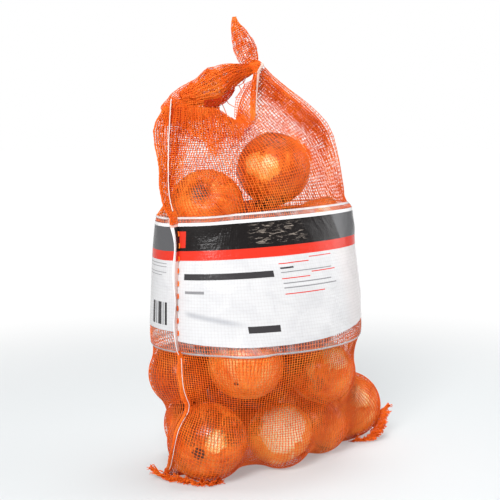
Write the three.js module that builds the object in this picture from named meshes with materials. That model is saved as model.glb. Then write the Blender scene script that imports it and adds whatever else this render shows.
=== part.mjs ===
// A net of large onions, standing on its end.
//
// Units are millimetres, +Z is up and -Y is the side that faces the viewer. The net stands on z = 0
// and the middle of its outer box is at x = 0, y = 0. The bag is a flat tube of knitted net with a
// sewn seam down its left side, filled with onions and pulled together at the top: its left corner
// is rolled into a carry handle and tied to its right corner. A printed film band goes round it.

import * as THREE from 'three';
import { mergeVertices } from 'three/addons/utils/BufferGeometryUtils.js';

// ---------------------------------------------------------------------------------------------
// Driving dimensions

const NET_SKIN = 1.2;          // the knitted net where it lies on an onion
const GAP = 0.4;               // free gap between neighbouring pieces
const FILM_GAP = 0.6;          // free gap between the net and the film band
const FILM_THICK = 1.0;        // the printed film band
const FIN_THICK = 2.4;         // the sewn edge of net that stands out from the left side
const BOX_MIDDLE = { x: 12.06, y: 8.3 };  // middle of the outer box, in the frame of the lists below

const FILM_BOTTOM = 176;       // heights of the film band's two edges, at the middle of the band
const FILM_TOP = 356;
const FILM_TOP_RISE = 0.018;   // how much the upper edge rises to the right, in mm for each mm
const FILM_FRONT_RISE = 0.08;  // how much it rises towards the front, in mm for each mm
const FILM_GIVES = 10;         // this far below its upper edge the film gives way to the onions
const FADE_IN = { from: FILM_BOTTOM - 22, to: FILM_BOTTOM + 4 };  // the full bag's section takes
const FADE_OUT = { from: FILM_TOP - 6, to: FILM_TOP + 22 };       // over from the onions' outline
const OPEN_SHARE = 0.8;        // how much of that section the bag keeps where it fades in and out

const COLUMNS = 32;            // grid columns from the left seam to the right fold, on each side
const LOWER_ROWS = 20;         // grid rows from the bottom seam to the film band
const FILM_ROWS = 11;          // grid rows on the film band
const UPPER_ROWS = 13;         // grid rows from the film band to the mouth
const UNDERSIDE_ROWS = 7;      // of the lower rows, those that start out under the onions

// The onions, as [x, y, z, radius, share that it yields when two of them press on each other].
const SHOWS = 0.02;
const HIDDEN = 1;
const ONIONS = [
  [-124, -28, 53, 53, SHOWS], [-10, -28, 46, 46, SHOWS], [73, 3, 43, 43, SHOWS], [152, 43, 48, 48, SHOWS],
  [-82, 68, 49, 49, HIDDEN], [10, 80, 39, 39, HIDDEN],
  [-134, 23, 137, 44, SHOWS], [-80, -54, 157, 51, SHOWS], [54, -33, 127, 46, SHOWS],
  [-8, 36, 116, 46, HIDDEN], [80, 77, 97, 45, HIDDEN],
  [-42, -42, 274, 45, HIDDEN], [8, -56, 200, 46, HIDDEN], [79, -9, 230, 45, HIDDEN],
  [-70, 58, 182, 45, HIDDEN], [8, 49, 238, 47, HIDDEN], [64, 48, 172, 39, HIDDEN],
  [-76, 38, 270, 45, HIDDEN], [-10, 29, 324, 44, HIDDEN],
  [-109, -2, 364, 50, SHOWS], [-10, -9, 407, 51, SHOWS], [76, 0, 320, 45, SHOWS],
];

// Sections of the filled bag behind the film band: [z, middle x, half width, half depth, corner].
// The corner is how far the section's back left stands out, as a share of its radius.
const FILM_SECTIONS = [
  [150, -22, 146, 104, 0.10], [191, -22, 149, 106, 0.10], [260, -22, 146, 92, 0.13],
  [304, -22, 142, 80, 0.18], [346, -21, 140, 66, 0.22], [362, -21, 139, 64, 0.22],
  [400, -21, 136, 50, 0.22],
];
const CORNER_ANGLE = THREE.MathUtils.degToRad(152);
const CORNER_SPREAD = THREE.MathUtils.degToRad(42);
const FILM_SIDE = { left: -28, right: 0 };  // y of the bag's two edges behind the film band

// The bag's four edges, as points that smooth curves run through.
const SEAM_LOWER = [[-172, 1, 5], [-175, -16, 22], [-179, -34, 42], [-178, -40, 62], [-171, -39, 82],
  [-152, -36, 106], [-160, -35, 122], [-164, -35, 140], [-163, -32, FILM_BOTTOM]];
const SEAM_UPPER = [[-162, -8, FILM_TOP], [-167, -6, 385], [-169, -5, 430], [-168, -5, 470], [-165, -5, 500]];
const FOLD_LOWER = [[197, 30, 40], [199, 36, 62], [186, 40, 84], [158, 38, 99], [122, 30, 120],
  [113, 16, 146], [125, 6, FILM_BOTTOM]];
const FOLD_UPPER = [[118, 0, FILM_TOP], [112, 0, 378], [103, 0, 420], [89, 0, 460], [67, 0, 483],
  [34, 0, 506.5], [14, -1, 519], [-5, -2, 532], [-16, -3, 541], [-23, -4, 547]];
const MOUTH = [[-165, -5, 500], [-152, -5, 498], [-141, -5, 494.5], [-125, -5, 492.5], [-110, -5, 493],
  [-98, -5, 492.5], [-88, -5, 485], [-78, -5, 478], [-70, -5, 474.5], [-64, -5, 478], [-63, -5, 490],
  [-58, -5, 504], [-49, -5, 519], [-38, -5, 532], [-23, -4, 547]];
const BOTTOM_SEAM = [[-172, 1, 5], [-158, 2, 2], [-100, 8, 0], [-40, 15, 0], [30, 22, 0], [110, 24, 0],
  [160, 24, 4], [184, 27, 18], [197, 30, 40]];

// ---------------------------------------------------------------------------------------------
// Small helpers

const clamp = THREE.MathUtils.clamp;
const lerp = THREE.MathUtils.lerp;
const smoothstep = THREE.MathUtils.smoothstep;
const point = ([x, y, z]) => new THREE.Vector3(x, y, z);

/** Evenly spaced points along the smooth curve through a list of points. */
function along(list, steps) {
  return new THREE.CatmullRomCurve3(list.map(point), false, 'centripetal').getSpacedPoints(steps);
}

/** The value of column `column` of a table whose first column rises, at the place `z`. */
function tableAt(table, z, column) {
  const last = table.length - 1;
  const place = clamp(z, table[0][0], table[last][0]);
  let row = 0;
  while (row < last - 1 && place > table[row + 1][0]) row += 1;
  const share = (place - table[row][0]) / (table[row + 1][0] - table[row][0]);
  return lerp(table[row][column], table[row + 1][column], share);
}

/** A closed body from points and faces, with its faces turned outwards. */
function closedBody(points, triangles) {
  const corner = [new THREE.Vector3(), new THREE.Vector3(), new THREE.Vector3()];
  let volume = 0;
  for (const face of triangles) {
    face.forEach((index, place) => corner[place].copy(points[index]));
    volume += corner[0].dot(corner[1].clone().cross(corner[2]));
  }
  const turned = volume < 0 ? triangles.map(([a, b, c]) => [a, c, b]) : triangles;
  const geometry = new THREE.BufferGeometry();
  const moved = points.flatMap((p) => [p.x - BOX_MIDDLE.x, p.y - BOX_MIDDLE.y, p.z]);
  geometry.setAttribute('position', new THREE.Float32BufferAttribute(moved, 3));
  geometry.setIndex(turned.flat());
  const merged = mergeVertices(geometry, 1e-3);
  const index = merged.getIndex().array;
  const kept = [];
  for (let i = 0; i < index.length; i += 3) {
    const [a, b, c] = [index[i], index[i + 1], index[i + 2]];
    if (a !== b && b !== c && c !== a) kept.push(a, b, c);
  }
  merged.setIndex(kept);
  merged.computeVertexNormals();
  return merged;
}

/** The two triangles of each cell between two rings of points that start at `low` and `high`. */
function ringFaces(low, high, count) {
  const faces = [];
  for (let k = 0; k < count; k += 1) {
    const next = (k + 1) % count;
    faces.push([low + k, low + next, high + next], [low + k, high + next, high + k]);
  }
  return faces;
}

/** A closed skin over a row of sections, each a ring of the same number of points. */
function loft(sections) {
  const count = sections[0].length;
  const points = sections.flat();
  const faces = [];
  for (let s = 1; s < sections.length; s += 1) faces.push(...ringFaces((s - 1) * count, s * count, count));
  const lastStart = (sections.length - 1) * count;
  for (let k = 1; k + 1 < count; k += 1) {
    faces.push([0, k + 1, k], [lastStart, lastStart + k, lastStart + k + 1]);
  }
  return closedBody(points, faces);
}

// ---------------------------------------------------------------------------------------------
// The fill: onions that press on each other until none overlaps

/** Keeps an onion inside the section that the bag has behind the film band. */
function keepBehindFilm({ at, radius }) {
  if (at.z < FILM_BOTTOM || at.z > FILM_TOP - FILM_GIVES) return;
  const middle = tableAt(FILM_SECTIONS, at.z, 1);
  const x = at.x - middle;
  const room = { x: tableAt(FILM_SECTIONS, at.z, 2) - radius, y: tableAt(FILM_SECTIONS, at.z, 3) - radius };
  const ratio = Math.hypot(x / room.x, at.y / room.y);
  if (ratio <= 1) return;
  at.x = middle + x / ratio;
  at.y /= ratio;
}

function settledOnions() {
  const onions = ONIONS.map(([x, y, z, radius, share]) => ({ at: point([x, y, z]), radius, share }));
  const rounds = 400;
  for (let round = 0; round < rounds; round += 1) {
    for (let i = 0; i < onions.length; i += 1) {
      for (let j = i + 1; j < onions.length; j += 1) {
        const [one, other] = [onions[i], onions[j]];
        const across = other.at.clone().sub(one.at);
        const length = across.length();
        const overlap = one.radius + other.radius - length;
        if (overlap <= 0) continue;
        across.multiplyScalar(overlap / (2 * length * (one.share + other.share)));
        one.at.addScaledVector(across, -one.share);
        other.at.addScaledVector(across, other.share);
      }
    }
    for (const onion of onions) {
      onion.at.z = Math.max(onion.at.z, onion.radius);
      keepBehindFilm(onion);
    }
  }
  return onions;
}

// ---------------------------------------------------------------------------------------------
// The net: a grid of points drawn tight over the onions, like the real net
//
// Column 0 is the left seam, column COLUMNS the right fold, and the columns after it come back
// along the rear. Row 0 is the bottom seam and the last row the mouth, where front and rear meet.

const RING = 2 * COLUMNS;
const FILM_START = LOWER_ROWS;
const FILM_END = LOWER_ROWS + FILM_ROWS;
const TOP_ROW = FILM_END + UPPER_ROWS;

// Tables by grid row: the bag's first half depth, and the width of the sewn edge.
const DEPTH_BY_ROW = [[0, 0], [UNDERSIDE_ROWS, 104], [FILM_START, 104], [FILM_END, 62], [TOP_ROW, 4]];
const FIN_BY_ROW = [[0, 5], [6, 7], [FILM_START, 9], [FILM_END, 13.5], [FILM_END + 2, 17], [FILM_END + 5, 16],
  [FILM_END + 7, 18], [FILM_END + 10, 22.5], [TOP_ROW - 2, 19], [TOP_ROW - 1, 11.5], [TOP_ROW, 4]];

/** How far round the section the outline stands, as a share of the plain ellipse. */
function cornerShare(z, x, y) {
  const turn = Math.atan2(y, x) - CORNER_ANGLE;
  const near = 1 - smoothstep(Math.abs(Math.atan2(Math.sin(turn), Math.cos(turn))), 0, CORNER_SPREAD);
  return 1 + tableAt(FILM_SECTIONS, z, 4) * near;
}

function pushOutOfOnions(p, onions) {
  for (const onion of onions) {
    const reach = onion.radius + NET_SKIN;
    const distance = p.distanceTo(onion.at);
    if (distance < reach) p.sub(onion.at).multiplyScalar(reach / distance).add(onion.at);
  }
}

/** Moves a point out to the section that the full bag has behind the film band, or right onto it. */
function pushOutOfSection(p, rightOn) {
  const fade = smoothstep(p.z, FADE_IN.from, FADE_IN.to) * (1 - smoothstep(p.z, FADE_OUT.from, FADE_OUT.to));
  if (fade <= 0) return;
  const x = p.x - tableAt(FILM_SECTIONS, p.z, 1);
  const ratio = Math.hypot(x / tableAt(FILM_SECTIONS, p.z, 2), p.y / tableAt(FILM_SECTIONS, p.z, 3));
  const wanted = cornerShare(p.z, x, p.y) * lerp(OPEN_SHARE, 1, fade);
  const tooNear = 0.05;
  if (ratio < tooNear || (ratio >= wanted && !rightOn)) return;
  p.x += x * (wanted / ratio - 1);
  p.y *= wanted / ratio;
}

function startGrid() {
  const seam = [...along(SEAM_LOWER, LOWER_ROWS), ...filmSide(-1), ...along(SEAM_UPPER, UPPER_ROWS)];
  const fold = [...along(FOLD_LOWER, LOWER_ROWS), ...filmSide(1), ...along(FOLD_UPPER, UPPER_ROWS)];
  const mouth = along(MOUTH, COLUMNS);
  const bottom = along(BOTTOM_SEAM, COLUMNS);
  const grid = [];
  for (let row = 0; row <= TOP_ROW; row += 1) {
    const upper = clamp((row - FILM_END) / UPPER_ROWS, 0, 1);
    const depth = tableAt(DEPTH_BY_ROW, row, 1);
    const ring = [];
    for (let k = 0; k < RING; k += 1) {
      const column = k <= COLUMNS ? k : RING - k;
      const side = k <= COLUMNS ? -1 : 1;
      const u = column / COLUMNS;
      if (row === 0 || row === TOP_ROW) {
        ring.push((row === 0 ? bottom : mouth)[column].clone());
        continue;
      }
      const swing = Math.sin(Math.PI * u);
      const share = lerp((1 - Math.cos(Math.PI * u)) / 2, u, upper);
      const p = seam[row].clone().lerp(fold[row], share);
      p.y += side * depth * swing;
      if (row < FILM_START) {
        const risen = clamp((row - UNDERSIDE_ROWS) / (FILM_START - UNDERSIDE_ROWS), 0, 1);
        p.z = lerp(p.z, risen * FILM_BOTTOM, Math.sqrt(swing));
      }
      if (row > FILM_END) {
        const chord = seam[TOP_ROW].clone().lerp(fold[TOP_ROW], u);
        p.addScaledVector(mouth[column].clone().sub(chord), upper * upper);
      }
      ring.push(p);
    }
    grid.push(ring);
  }
  return grid;
}

/** The height of the film band under a point, at a share of the way up the band. */
function filmHeight({ x, y }, share) {
  const top = FILM_TOP + FILM_TOP_RISE * (x - BOX_MIDDLE.x) + FILM_FRONT_RISE * Math.max(-y, 0);
  return lerp(FILM_BOTTOM, top, share);
}

/** The side of the bag behind the film band, between its two edges (side is -1 left, 1 right). */
function filmSide(side) {
  const points = [];
  for (let row = 1; row < FILM_ROWS; row += 1) {
    const z = lerp(FILM_BOTTOM, FILM_TOP, row / FILM_ROWS);
    const x = tableAt(FILM_SECTIONS, z, 1) + side * tableAt(FILM_SECTIONS, z, 2);
    points.push(new THREE.Vector3(x, side < 0 ? FILM_SIDE.left : FILM_SIDE.right, z));
  }
  return points;
}

/** Draws the net tight: each point moves towards its neighbours, and out of what it lies on. */
function drawTight(grid, onions) {
  const rounds = 420;
  const pull = 0.5;
  const hold = { seam: 0.6, film: 0.1, fold: 1 };
  const thinnest = 3.2;
  const home = grid.map((ring) => [ring[0].clone(), ring[COLUMNS].clone()]);
  for (let round = 0; round < rounds; round += 1) {
    const before = grid.map((ring) => ring.map((p) => p.clone()));
    for (let row = 1; row < TOP_ROW; row += 1) {
      const onFilm = row >= FILM_START && row <= FILM_END;
      for (let k = 0; k < RING; k += 1) {
        const p = grid[row][k];
        const mean = before[row - 1][k].clone().add(before[row + 1][k]);
        mean.add(before[row][(k + 1) % RING]).add(before[row][(k + RING - 1) % RING]).multiplyScalar(0.25);
        p.lerp(mean, pull);
        if (onFilm) p.z = filmHeight(p, (row - FILM_START) / FILM_ROWS);
        if (k === 0) p.lerp(home[row][0], onFilm ? hold.film : hold.seam);
        const tight = row > FILM_END || row < LOWER_ROWS / 2;
        if (k === COLUMNS && !onFilm) p.lerp(home[row][1], tight ? hold.fold : hold.film);
        if (!onFilm) pushOutOfOnions(p, onions);
        pushOutOfSection(p, onFilm);
        p.z = Math.max(p.z, 0);
      }
      if (row > FILM_END) {
        for (let column = 1; column < COLUMNS; column += 1) {
          const [front, rear] = [grid[row][column], grid[row][RING - column]];
          const short = 2 * thinnest - (rear.y - front.y);
          if (short > 0) {
            front.y -= short / 2;
            rear.y += short / 2;
          }
        }
      }
    }
  }
  const flattened = 2.5;
  for (const ring of grid) for (const p of ring) if (p.z < flattened) p.z = 0;
  return grid;
}

/** The outward direction of the net at a grid point. */
function outward(grid, row, k) {
  const round = grid[row][(k + 1) % RING].clone().sub(grid[row][(k + RING - 1) % RING]);
  const up = grid[Math.min(row + 1, TOP_ROW)][k].clone().sub(grid[Math.max(row - 1, 0)][k]);
  return round.cross(up).normalize();
}

function netBag(grid) {
  const faces = [];
  for (let row = 0; row < TOP_ROW; row += 1) faces.push(...ringFaces(row * RING, (row + 1) * RING, RING));
  return closedBody(grid.flat(), faces);
}

// ---------------------------------------------------------------------------------------------
// The film band: a thin ring round the net

function filmBand(grid) {
  const skins = [FILM_GAP, FILM_GAP + FILM_THICK].map((lift) => {
    const rings = [];
    for (let row = FILM_START; row <= FILM_END; row += 1) {
      rings.push(grid[row].map((p, k) => {
        const out = outward(grid, row, k).setZ(0).normalize();
        return p.clone().addScaledVector(out, lift);
      }));
    }
    return rings;
  });
  const points = skins.flat(2);
  const faces = [];
  const skinSize = (FILM_ROWS + 1) * RING;
  for (let row = 0; row < FILM_ROWS; row += 1) {
    const [low, high] = [row * RING, (row + 1) * RING];
    faces.push(...ringFaces(high, low, RING));
    faces.push(...ringFaces(skinSize + low, skinSize + high, RING));
  }
  faces.push(...ringFaces(0, skinSize, RING));
  faces.push(...ringFaces(skinSize + FILM_ROWS * RING, FILM_ROWS * RING, RING));
  return closedBody(points, faces);
}

// ---------------------------------------------------------------------------------------------
// Sewn edges and hems

/** A flat strip that stands out from a line: base, outer edge and thickness at each step. */
function strip(lines) {
  const sections = lines.map(({ base, out, across, width, thick }) => {
    const half = across.clone().multiplyScalar(thick / 2);
    const tip = base.clone().addScaledVector(out, width);
    return [base.clone().sub(half), tip.clone().sub(half), tip.clone().add(half), base.clone().add(half)];
  });
  return loft(sections);
}

function sideSeam(grid) {
  const lines = [];
  for (let row = 1; row <= TOP_ROW; row += 1) {
    const onFilm = row >= FILM_START && row <= FILM_END;
    const out = outward(grid, Math.min(row, TOP_ROW - 1), 0).setZ(0).normalize();
    const ahead = new THREE.Vector3().subVectors(grid[Math.min(row + 1, TOP_ROW)][0], grid[row - 1][0]);
    const across = new THREE.Vector3().crossVectors(out, ahead).normalize();
    const base = grid[row][0].clone().addScaledVector(out, onFilm ? FILM_GAP + FILM_THICK + GAP : GAP);
    lines.push({ base, out, across, width: tableAt(FIN_BY_ROW, row, 1), thick: FIN_THICK });
  }
  return strip(lines);
}

// ---------------------------------------------------------------------------------------------
// The tied top

/** A soft rope of gathered net: a ring of points round each place of a hand-set route. */
function gathered(route, sides = 12) {
  const sections = route.map(([x, y, z, wide, deep], place) => {
    const before = point(route[Math.max(place - 1, 0)]);
    const after = point(route[Math.min(place + 1, route.length - 1)]);
    const ahead = after.sub(before).normalize();
    const deepWay = new THREE.Vector3(0, 1, 0).addScaledVector(ahead, -ahead.y).normalize();
    const wideWay = new THREE.Vector3().crossVectors(ahead, deepWay);
    const ring = [];
    for (let side = 0; side < sides; side += 1) {
      const turn = (2 * Math.PI * side) / sides;
      ring.push(new THREE.Vector3(x, y, z)
        .addScaledVector(wideWay, wide * Math.cos(turn))
        .addScaledVector(deepWay, deep * Math.sin(turn)));
    }
    return ring;
  });
  return loft(sections);
}

// Routes as [x, y, z, half width seen from the front, half depth].
const HANDLE_ROUTE = [[-164, -5, 507.5, 3, 3], [-157, -5, 510, 6, 5], [-150, -5, 512.5, 9, 7],
  [-142, -5, 511.5, 13.5, 10], [-133, -6, 512, 15.5, 12], [-125, -6, 514.5, 18.5, 13.5],
  [-112, -6, 519, 22, 14.5], [-100, -6, 522.5, 24, 14.5], [-91, -6, 526, 21, 13.5], [-83, -6, 530, 18, 12],
  [-74, -6, 534.5, 14.5, 10], [-63, -6, 538, 11, 9], [-51, -5, 541, 9, 8]];
const EAR_ROUTE = [[-48.3, -5, 562, 16.3, 7], [-51, -5, 567.5, 17, 8], [-54.5, -5, 575, 16.8, 7],
  [-58.5, -6, 582.5, 15, 6], [-62.3, -6, 590.5, 12.5, 5.5], [-66, -5, 598.5, 9, 4.5],
  [-67.8, -5, 605, 5.5, 3.5], [-68.5, -5, 610.5, 2.5, 2]];
const NECK_FOLD_ROUTE = [[-42, -17, 535, 4.5, 3.5], [-44, -18.5, 524, 5.5, 4.5], [-47, -20, 510, 5.5, 4.5],
  [-49, -21.5, 497, 5, 4], [-51, -23.8, 485, 4, 3.5], [-52, -25, 476, 2, 2]];
const KNOT = { x: -38, y: -6, z: 546.3, wide: 11.5, deep: 10, high: 9 };
const STRING_ROUTE = [[-36, -18, 543, 1, 1], [-40, -22, 538, 1, 1], [-42, -24.6, 531, 1, 1],
  [-43, -25.2, 520, 1, 1], [-45, -26.4, 508, 1, 1], [-47, -27.4, 497, 1, 1], [-48, -28.6, 487, 1, 1]];

function knot() {
  const ball = new THREE.SphereGeometry(1, 16, 10);
  const place = ball.getAttribute('position');
  const middle = new THREE.Vector3(KNOT.x, KNOT.y, KNOT.z);
  const size = new THREE.Vector3(KNOT.wide, KNOT.deep, KNOT.high);
  const points = [];
  for (let i = 0; i < place.count; i += 1) {
    points.push(new THREE.Vector3().fromBufferAttribute(place, i).multiply(size).add(middle));
  }
  const index = ball.getIndex().array;
  const faces = [];
  for (let i = 0; i < index.length; i += 3) faces.push([index[i], index[i + 1], index[i + 2]]);
  return closedBody(points, faces);
}

// Hems as [x, y, z, direction out x, y, z, width, thickness].
const HEM_LEFT_ROUTE = [[-185, 16, 10, -0.8, 0.3, 0.5, 5, 1.6], [-179, 11, 5, -0.9, 0.1, 0.2, 8, 2.4],
  [-170, -3, 1.6, -1, -0.1, 0, 9, 2.4], [-160, -22, 1.4, -0.95, -0.3, 0, 8, 2.4],
  [-152, -40, 1.4, -0.8, -0.6, 0, 7, 2.4], [-138, -53, 1.4, -0.4, -0.9, 0, 6, 2.4],
  [-118, -55, 1.2, 0.1, -1, 0, 4, 2]];
const HEM_RIGHT_ROUTE = [[208, 21, 42, 1, -0.1, 0.2, 6, 1.6], [202, 20, 36, 0.9, -0.3, -0.1, 8, 2.4],
  [192, 13, 26, 0.8, -0.5, -0.2, 8, 2.4], [182, 8, 13, 0.7, -0.6, -0.2, 8, 2.4],
  [169, 6, 3, 0.5, -0.85, 0, 7, 2.4], [154, 10, 1.4, 0.4, -0.9, 0, 6, 2.4],
  [140, 14, 1.2, 0.3, -0.95, 0, 4, 2]];

function hem(route) {
  const lines = route.map(([x, y, z, ox, oy, oz, width, thick], place) => {
    const before = point(route[Math.max(place - 1, 0)]);
    const after = point(route[Math.min(place + 1, route.length - 1)]);
    const out = new THREE.Vector3(ox, oy, oz).normalize();
    const across = new THREE.Vector3().crossVectors(after.sub(before), out).normalize();
    return { base: new THREE.Vector3(x, y, z), out, across, width, thick };
  });
  return strip(lines);
}

// ---------------------------------------------------------------------------------------------
// Colours and the finished group

const NET_ORANGE = new THREE.MeshStandardMaterial({ color: 0xd9531e, roughness: 0.6, metalness: 0 });
const NET_RED = new THREE.MeshStandardMaterial({ color: 0xc8401a, roughness: 0.6, metalness: 0 });
const FILM_WHITE = new THREE.MeshStandardMaterial({ color: 0xf2efec, roughness: 0.25, metalness: 0 });
const STRING_WHITE = new THREE.MeshStandardMaterial({ color: 0xf4ece6, roughness: 0.7, metalness: 0 });

const net = new THREE.Group();

function addPiece(name, geometry, material) {
  const piece = new THREE.Mesh(geometry, material);
  piece.name = name;
  net.add(piece);
}

const grid = drawTight(startGrid(), settledOnions());
addPiece('net_bag', netBag(grid), NET_ORANGE);
addPiece('film_band', filmBand(grid), FILM_WHITE);
addPiece('side_seam', sideSeam(grid), NET_RED);
addPiece('handle_roll', gathered(HANDLE_ROUTE), NET_RED);
addPiece('handle_knot', knot(), NET_RED);
addPiece('handle_ear', gathered(EAR_ROUTE), NET_ORANGE);
addPiece('neck_fold', gathered(NECK_FOLD_ROUTE), NET_RED);
addPiece('tie_string', gathered(STRING_ROUTE, 6), STRING_WHITE);
addPiece('hem_left', hem(HEM_LEFT_ROUTE), NET_RED);
addPiece('hem_right', hem(HEM_RIGHT_ROUTE), NET_RED);

export default net;
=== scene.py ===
# %% [markdown]
# # A net of onions
# A knitted net is full of large onions and stands on its end. This lesson dresses the
# plain solids of the CAD model: the knitted yarn, the onions behind it, the printed film band, the
# sewn side seam and the handle that is tied from the two upper corners. Every length on the bag is
# written in millimetres, as a maker would write it, and turned into metres where a mesh is made. The
# camera, the lamps and the floor are placed in metres.

import math

import bmesh
import bpy
import numpy as np
from mathutils import Matrix, Vector


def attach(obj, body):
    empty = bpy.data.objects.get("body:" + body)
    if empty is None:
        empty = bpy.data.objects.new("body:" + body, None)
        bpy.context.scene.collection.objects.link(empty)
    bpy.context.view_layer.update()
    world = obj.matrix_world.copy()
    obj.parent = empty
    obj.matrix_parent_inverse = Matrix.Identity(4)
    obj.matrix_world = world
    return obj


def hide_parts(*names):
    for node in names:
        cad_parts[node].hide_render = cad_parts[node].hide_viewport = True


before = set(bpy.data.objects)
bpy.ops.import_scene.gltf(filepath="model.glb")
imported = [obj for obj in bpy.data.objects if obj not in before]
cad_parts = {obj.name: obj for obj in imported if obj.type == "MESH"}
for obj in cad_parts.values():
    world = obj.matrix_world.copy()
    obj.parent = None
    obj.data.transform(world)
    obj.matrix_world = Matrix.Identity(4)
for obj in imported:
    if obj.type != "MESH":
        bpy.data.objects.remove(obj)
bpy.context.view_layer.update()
scene = bpy.context.scene
MM = 0.001
BOX_MIDDLE = np.array([12.06, 8.3, 0.0])     # the lists below are in the frame the bag was drawn in

# %% [markdown]
# ## Camera, light and floor
# The photograph is taken from a little left of the front and from slightly above. A long lens keeps
# the bag's sides nearly parallel. The light is a soft studio light from above and from the camera's
# left, and the floor is a plain pale sweep that burns out to white behind the object.

# %% Camera
VIEW_AZIMUTH = math.radians(-32.0)
VIEW_ELEVATION = math.radians(8.3)
VIEW_DISTANCE = 1.944
LENS, SENSOR_WIDTH = 103.0, 36.0             # mm
AIM_AT = Vector((-0.03406, -0.0083, 0.3078))
AIM_LEFT = 0.0163                            # the bag stands a little right of the picture's middle
AIM_DOWN = 0.0095
TO_CAMERA = np.array([math.sin(VIEW_AZIMUTH) * math.cos(VIEW_ELEVATION),
                      -math.cos(VIEW_AZIMUTH) * math.cos(VIEW_ELEVATION), math.sin(VIEW_ELEVATION)])
TO_RIGHT = np.array([math.cos(VIEW_AZIMUTH), math.sin(VIEW_AZIMUTH), 0])
TO_TOP = np.cross(TO_CAMERA, TO_RIGHT)


def make_camera():
    back, right = Vector(TO_CAMERA), Vector(TO_RIGHT)
    camera = bpy.data.objects.new("camera", bpy.data.cameras.new("camera"))
    scene.collection.objects.link(camera)
    camera.data.lens = LENS
    camera.data.sensor_width = SENSOR_WIDTH
    camera.data.clip_end = 50
    camera.location = AIM_AT + back * VIEW_DISTANCE
    target = AIM_AT - right * AIM_LEFT - back.cross(right) * AIM_DOWN
    camera.rotation_euler = (camera.location - target).to_track_quat("Z", "Y").to_euler()
    scene.camera = camera
    return camera


camera = make_camera()
print("camera at", [round(v, 3) for v in camera.location])

# %% Light
WORLD_STRENGTH = 0.21


def soft_light(name, place, look_at, size, power):
    lamp = bpy.data.lights.new(name, "AREA")
    lamp.shape = "RECTANGLE"
    lamp.size, lamp.size_y = size
    lamp.energy = power
    light = bpy.data.objects.new(name, lamp)
    scene.collection.objects.link(light)
    light.location = place
    light.rotation_euler = (Vector(place) - Vector(look_at)).to_track_quat("Z", "Y").to_euler()


soft_light("key_light", (-1.5, -1.5, 1.6), (0, 0, 0.3), (0.8, 0.8), 64)
soft_light("top_light", (0.2, 0.2, 2.1), (0, 0, 0.2), (1.2, 1.2), 28)
soft_light("side_light", (1.7, -0.6, 0.9), (0, 0, 0.3), (0.9, 1.4), 15)

world = bpy.data.worlds.new("studio")
world.use_nodes = True
world.node_tree.nodes["Background"].inputs["Color"].default_value = (1, 1, 1, 1)
world.node_tree.nodes["Background"].inputs["Strength"].default_value = WORLD_STRENGTH
scene.world = world
scene.view_settings.view_transform = "Standard"
scene.view_settings.exposure = 0.0

# %% [markdown]
# ## Shader maths
# A material is easier to read as sums and products than as a list of nodes. `Wire` stands for one
# output of a node, and its operators add Math nodes; `Shader.node` adds any other node.

# %% Shader maths
class Wire:
    """One value in a material's node tree, with the arithmetic that the materials below use."""

    def __init__(self, shader, socket):
        self.shader = shader
        self.socket = socket

    def _math(self, operation, *values):
        return self.shader.node("ShaderNodeMath", {"operation": operation}, dict(enumerate(values)))

    def __add__(self, other):
        return self._math("ADD", self, other)

    def __mul__(self, other):
        return self._math("MULTIPLY", self, other)

    def __sub__(self, other):
        return self._math("SUBTRACT", self, other)

    def __rsub__(self, other):
        return self._math("SUBTRACT", other, self)

    def __gt__(self, other):
        return self._math("GREATER_THAN", self, other)

    def __lt__(self, other):
        return self._math("LESS_THAN", self, other)

    def __mod__(self, other):
        return self._math("FLOORED_MODULO", self, other)

    def __abs__(self):
        return self._math("ABSOLUTE", self)

    __radd__ = __add__
    __rmul__ = __mul__

    def at_most(self, other):
        return self._math("MINIMUM", self, other)

    def ramp(self, low, high, at_low=0.0, at_high=1.0):
        """Goes from at_low to at_high, smoothly, as the value goes from low to high."""
        return self.shader.node("ShaderNodeMapRange", {"interpolation_type": "SMOOTHSTEP"},
                                {0: self, 1: low, 2: high, 3: at_low, 4: at_high})


class Shader:
    """A new material with its Principled shader, and one method that adds any node."""

    def __init__(self, name):
        self.material = bpy.data.materials.new(name)
        self.material.use_nodes = True
        self.tree = self.material.node_tree
        self.principled = self.tree.nodes["Principled BSDF"]

    def node(self, kind, settings=None, inputs=None, output=0):
        node = self.tree.nodes.new(kind)
        for key, value in (settings or {}).items():
            if key == "stops":
                self._set_stops(node, value)
            else:
                setattr(node, key, value)
        for key, value in (inputs or {}).items():
            if isinstance(value, Wire):
                self.tree.links.new(value.socket, node.inputs[key])
            elif value is not None:
                node.inputs[key].default_value = value
        return Wire(self, node.outputs[output])

    @staticmethod
    def _set_stops(node, stops):
        elements = node.color_ramp.elements
        while len(elements) < len(stops):
            elements.new(0.5)
        for element, (place, colour) in zip(elements, stops):
            element.position = place
            element.color = (*colour, 1)

    def set(self, **values):
        """Sets or links sockets of the Principled shader, with _ for a space in their names."""
        for key, value in values.items():
            socket = self.principled.inputs[key.replace("_", " ")]
            if isinstance(value, Wire):
                self.tree.links.new(value.socket, socket)
            else:
                socket.default_value = rgba(value)

    def noise(self, vector, scale, detail=2.0, rough=0.5, distortion=0.0):
        return self.node("ShaderNodeTexNoise", {"noise_dimensions": "3D"},
                         {"Vector": vector, "Scale": scale, "Detail": detail, "Roughness": rough,
                          "Distortion": distortion})

    def mix(self, share, one, other):
        return self.node("ShaderNodeMix", {"data_type": "RGBA"},
                         {0: share, 6: rgba(one), 7: rgba(other)}, 2)

    def palette(self, value, *stops):
        return self.node("ShaderNodeValToRGB", {"stops": stops}, {0: value})

    def vector(self, x, y, z):
        return self.node("ShaderNodeCombineXYZ", None, {0: x, 1: y, 2: z})

    def parts(self, vector):
        return [self.node("ShaderNodeSeparateXYZ", None, {0: vector}, place) for place in range(3)]

    def bump(self, height, strength, distance):
        return self.node("ShaderNodeBump", None,
                         {"Strength": strength, "Distance": distance, "Height": height})


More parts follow.
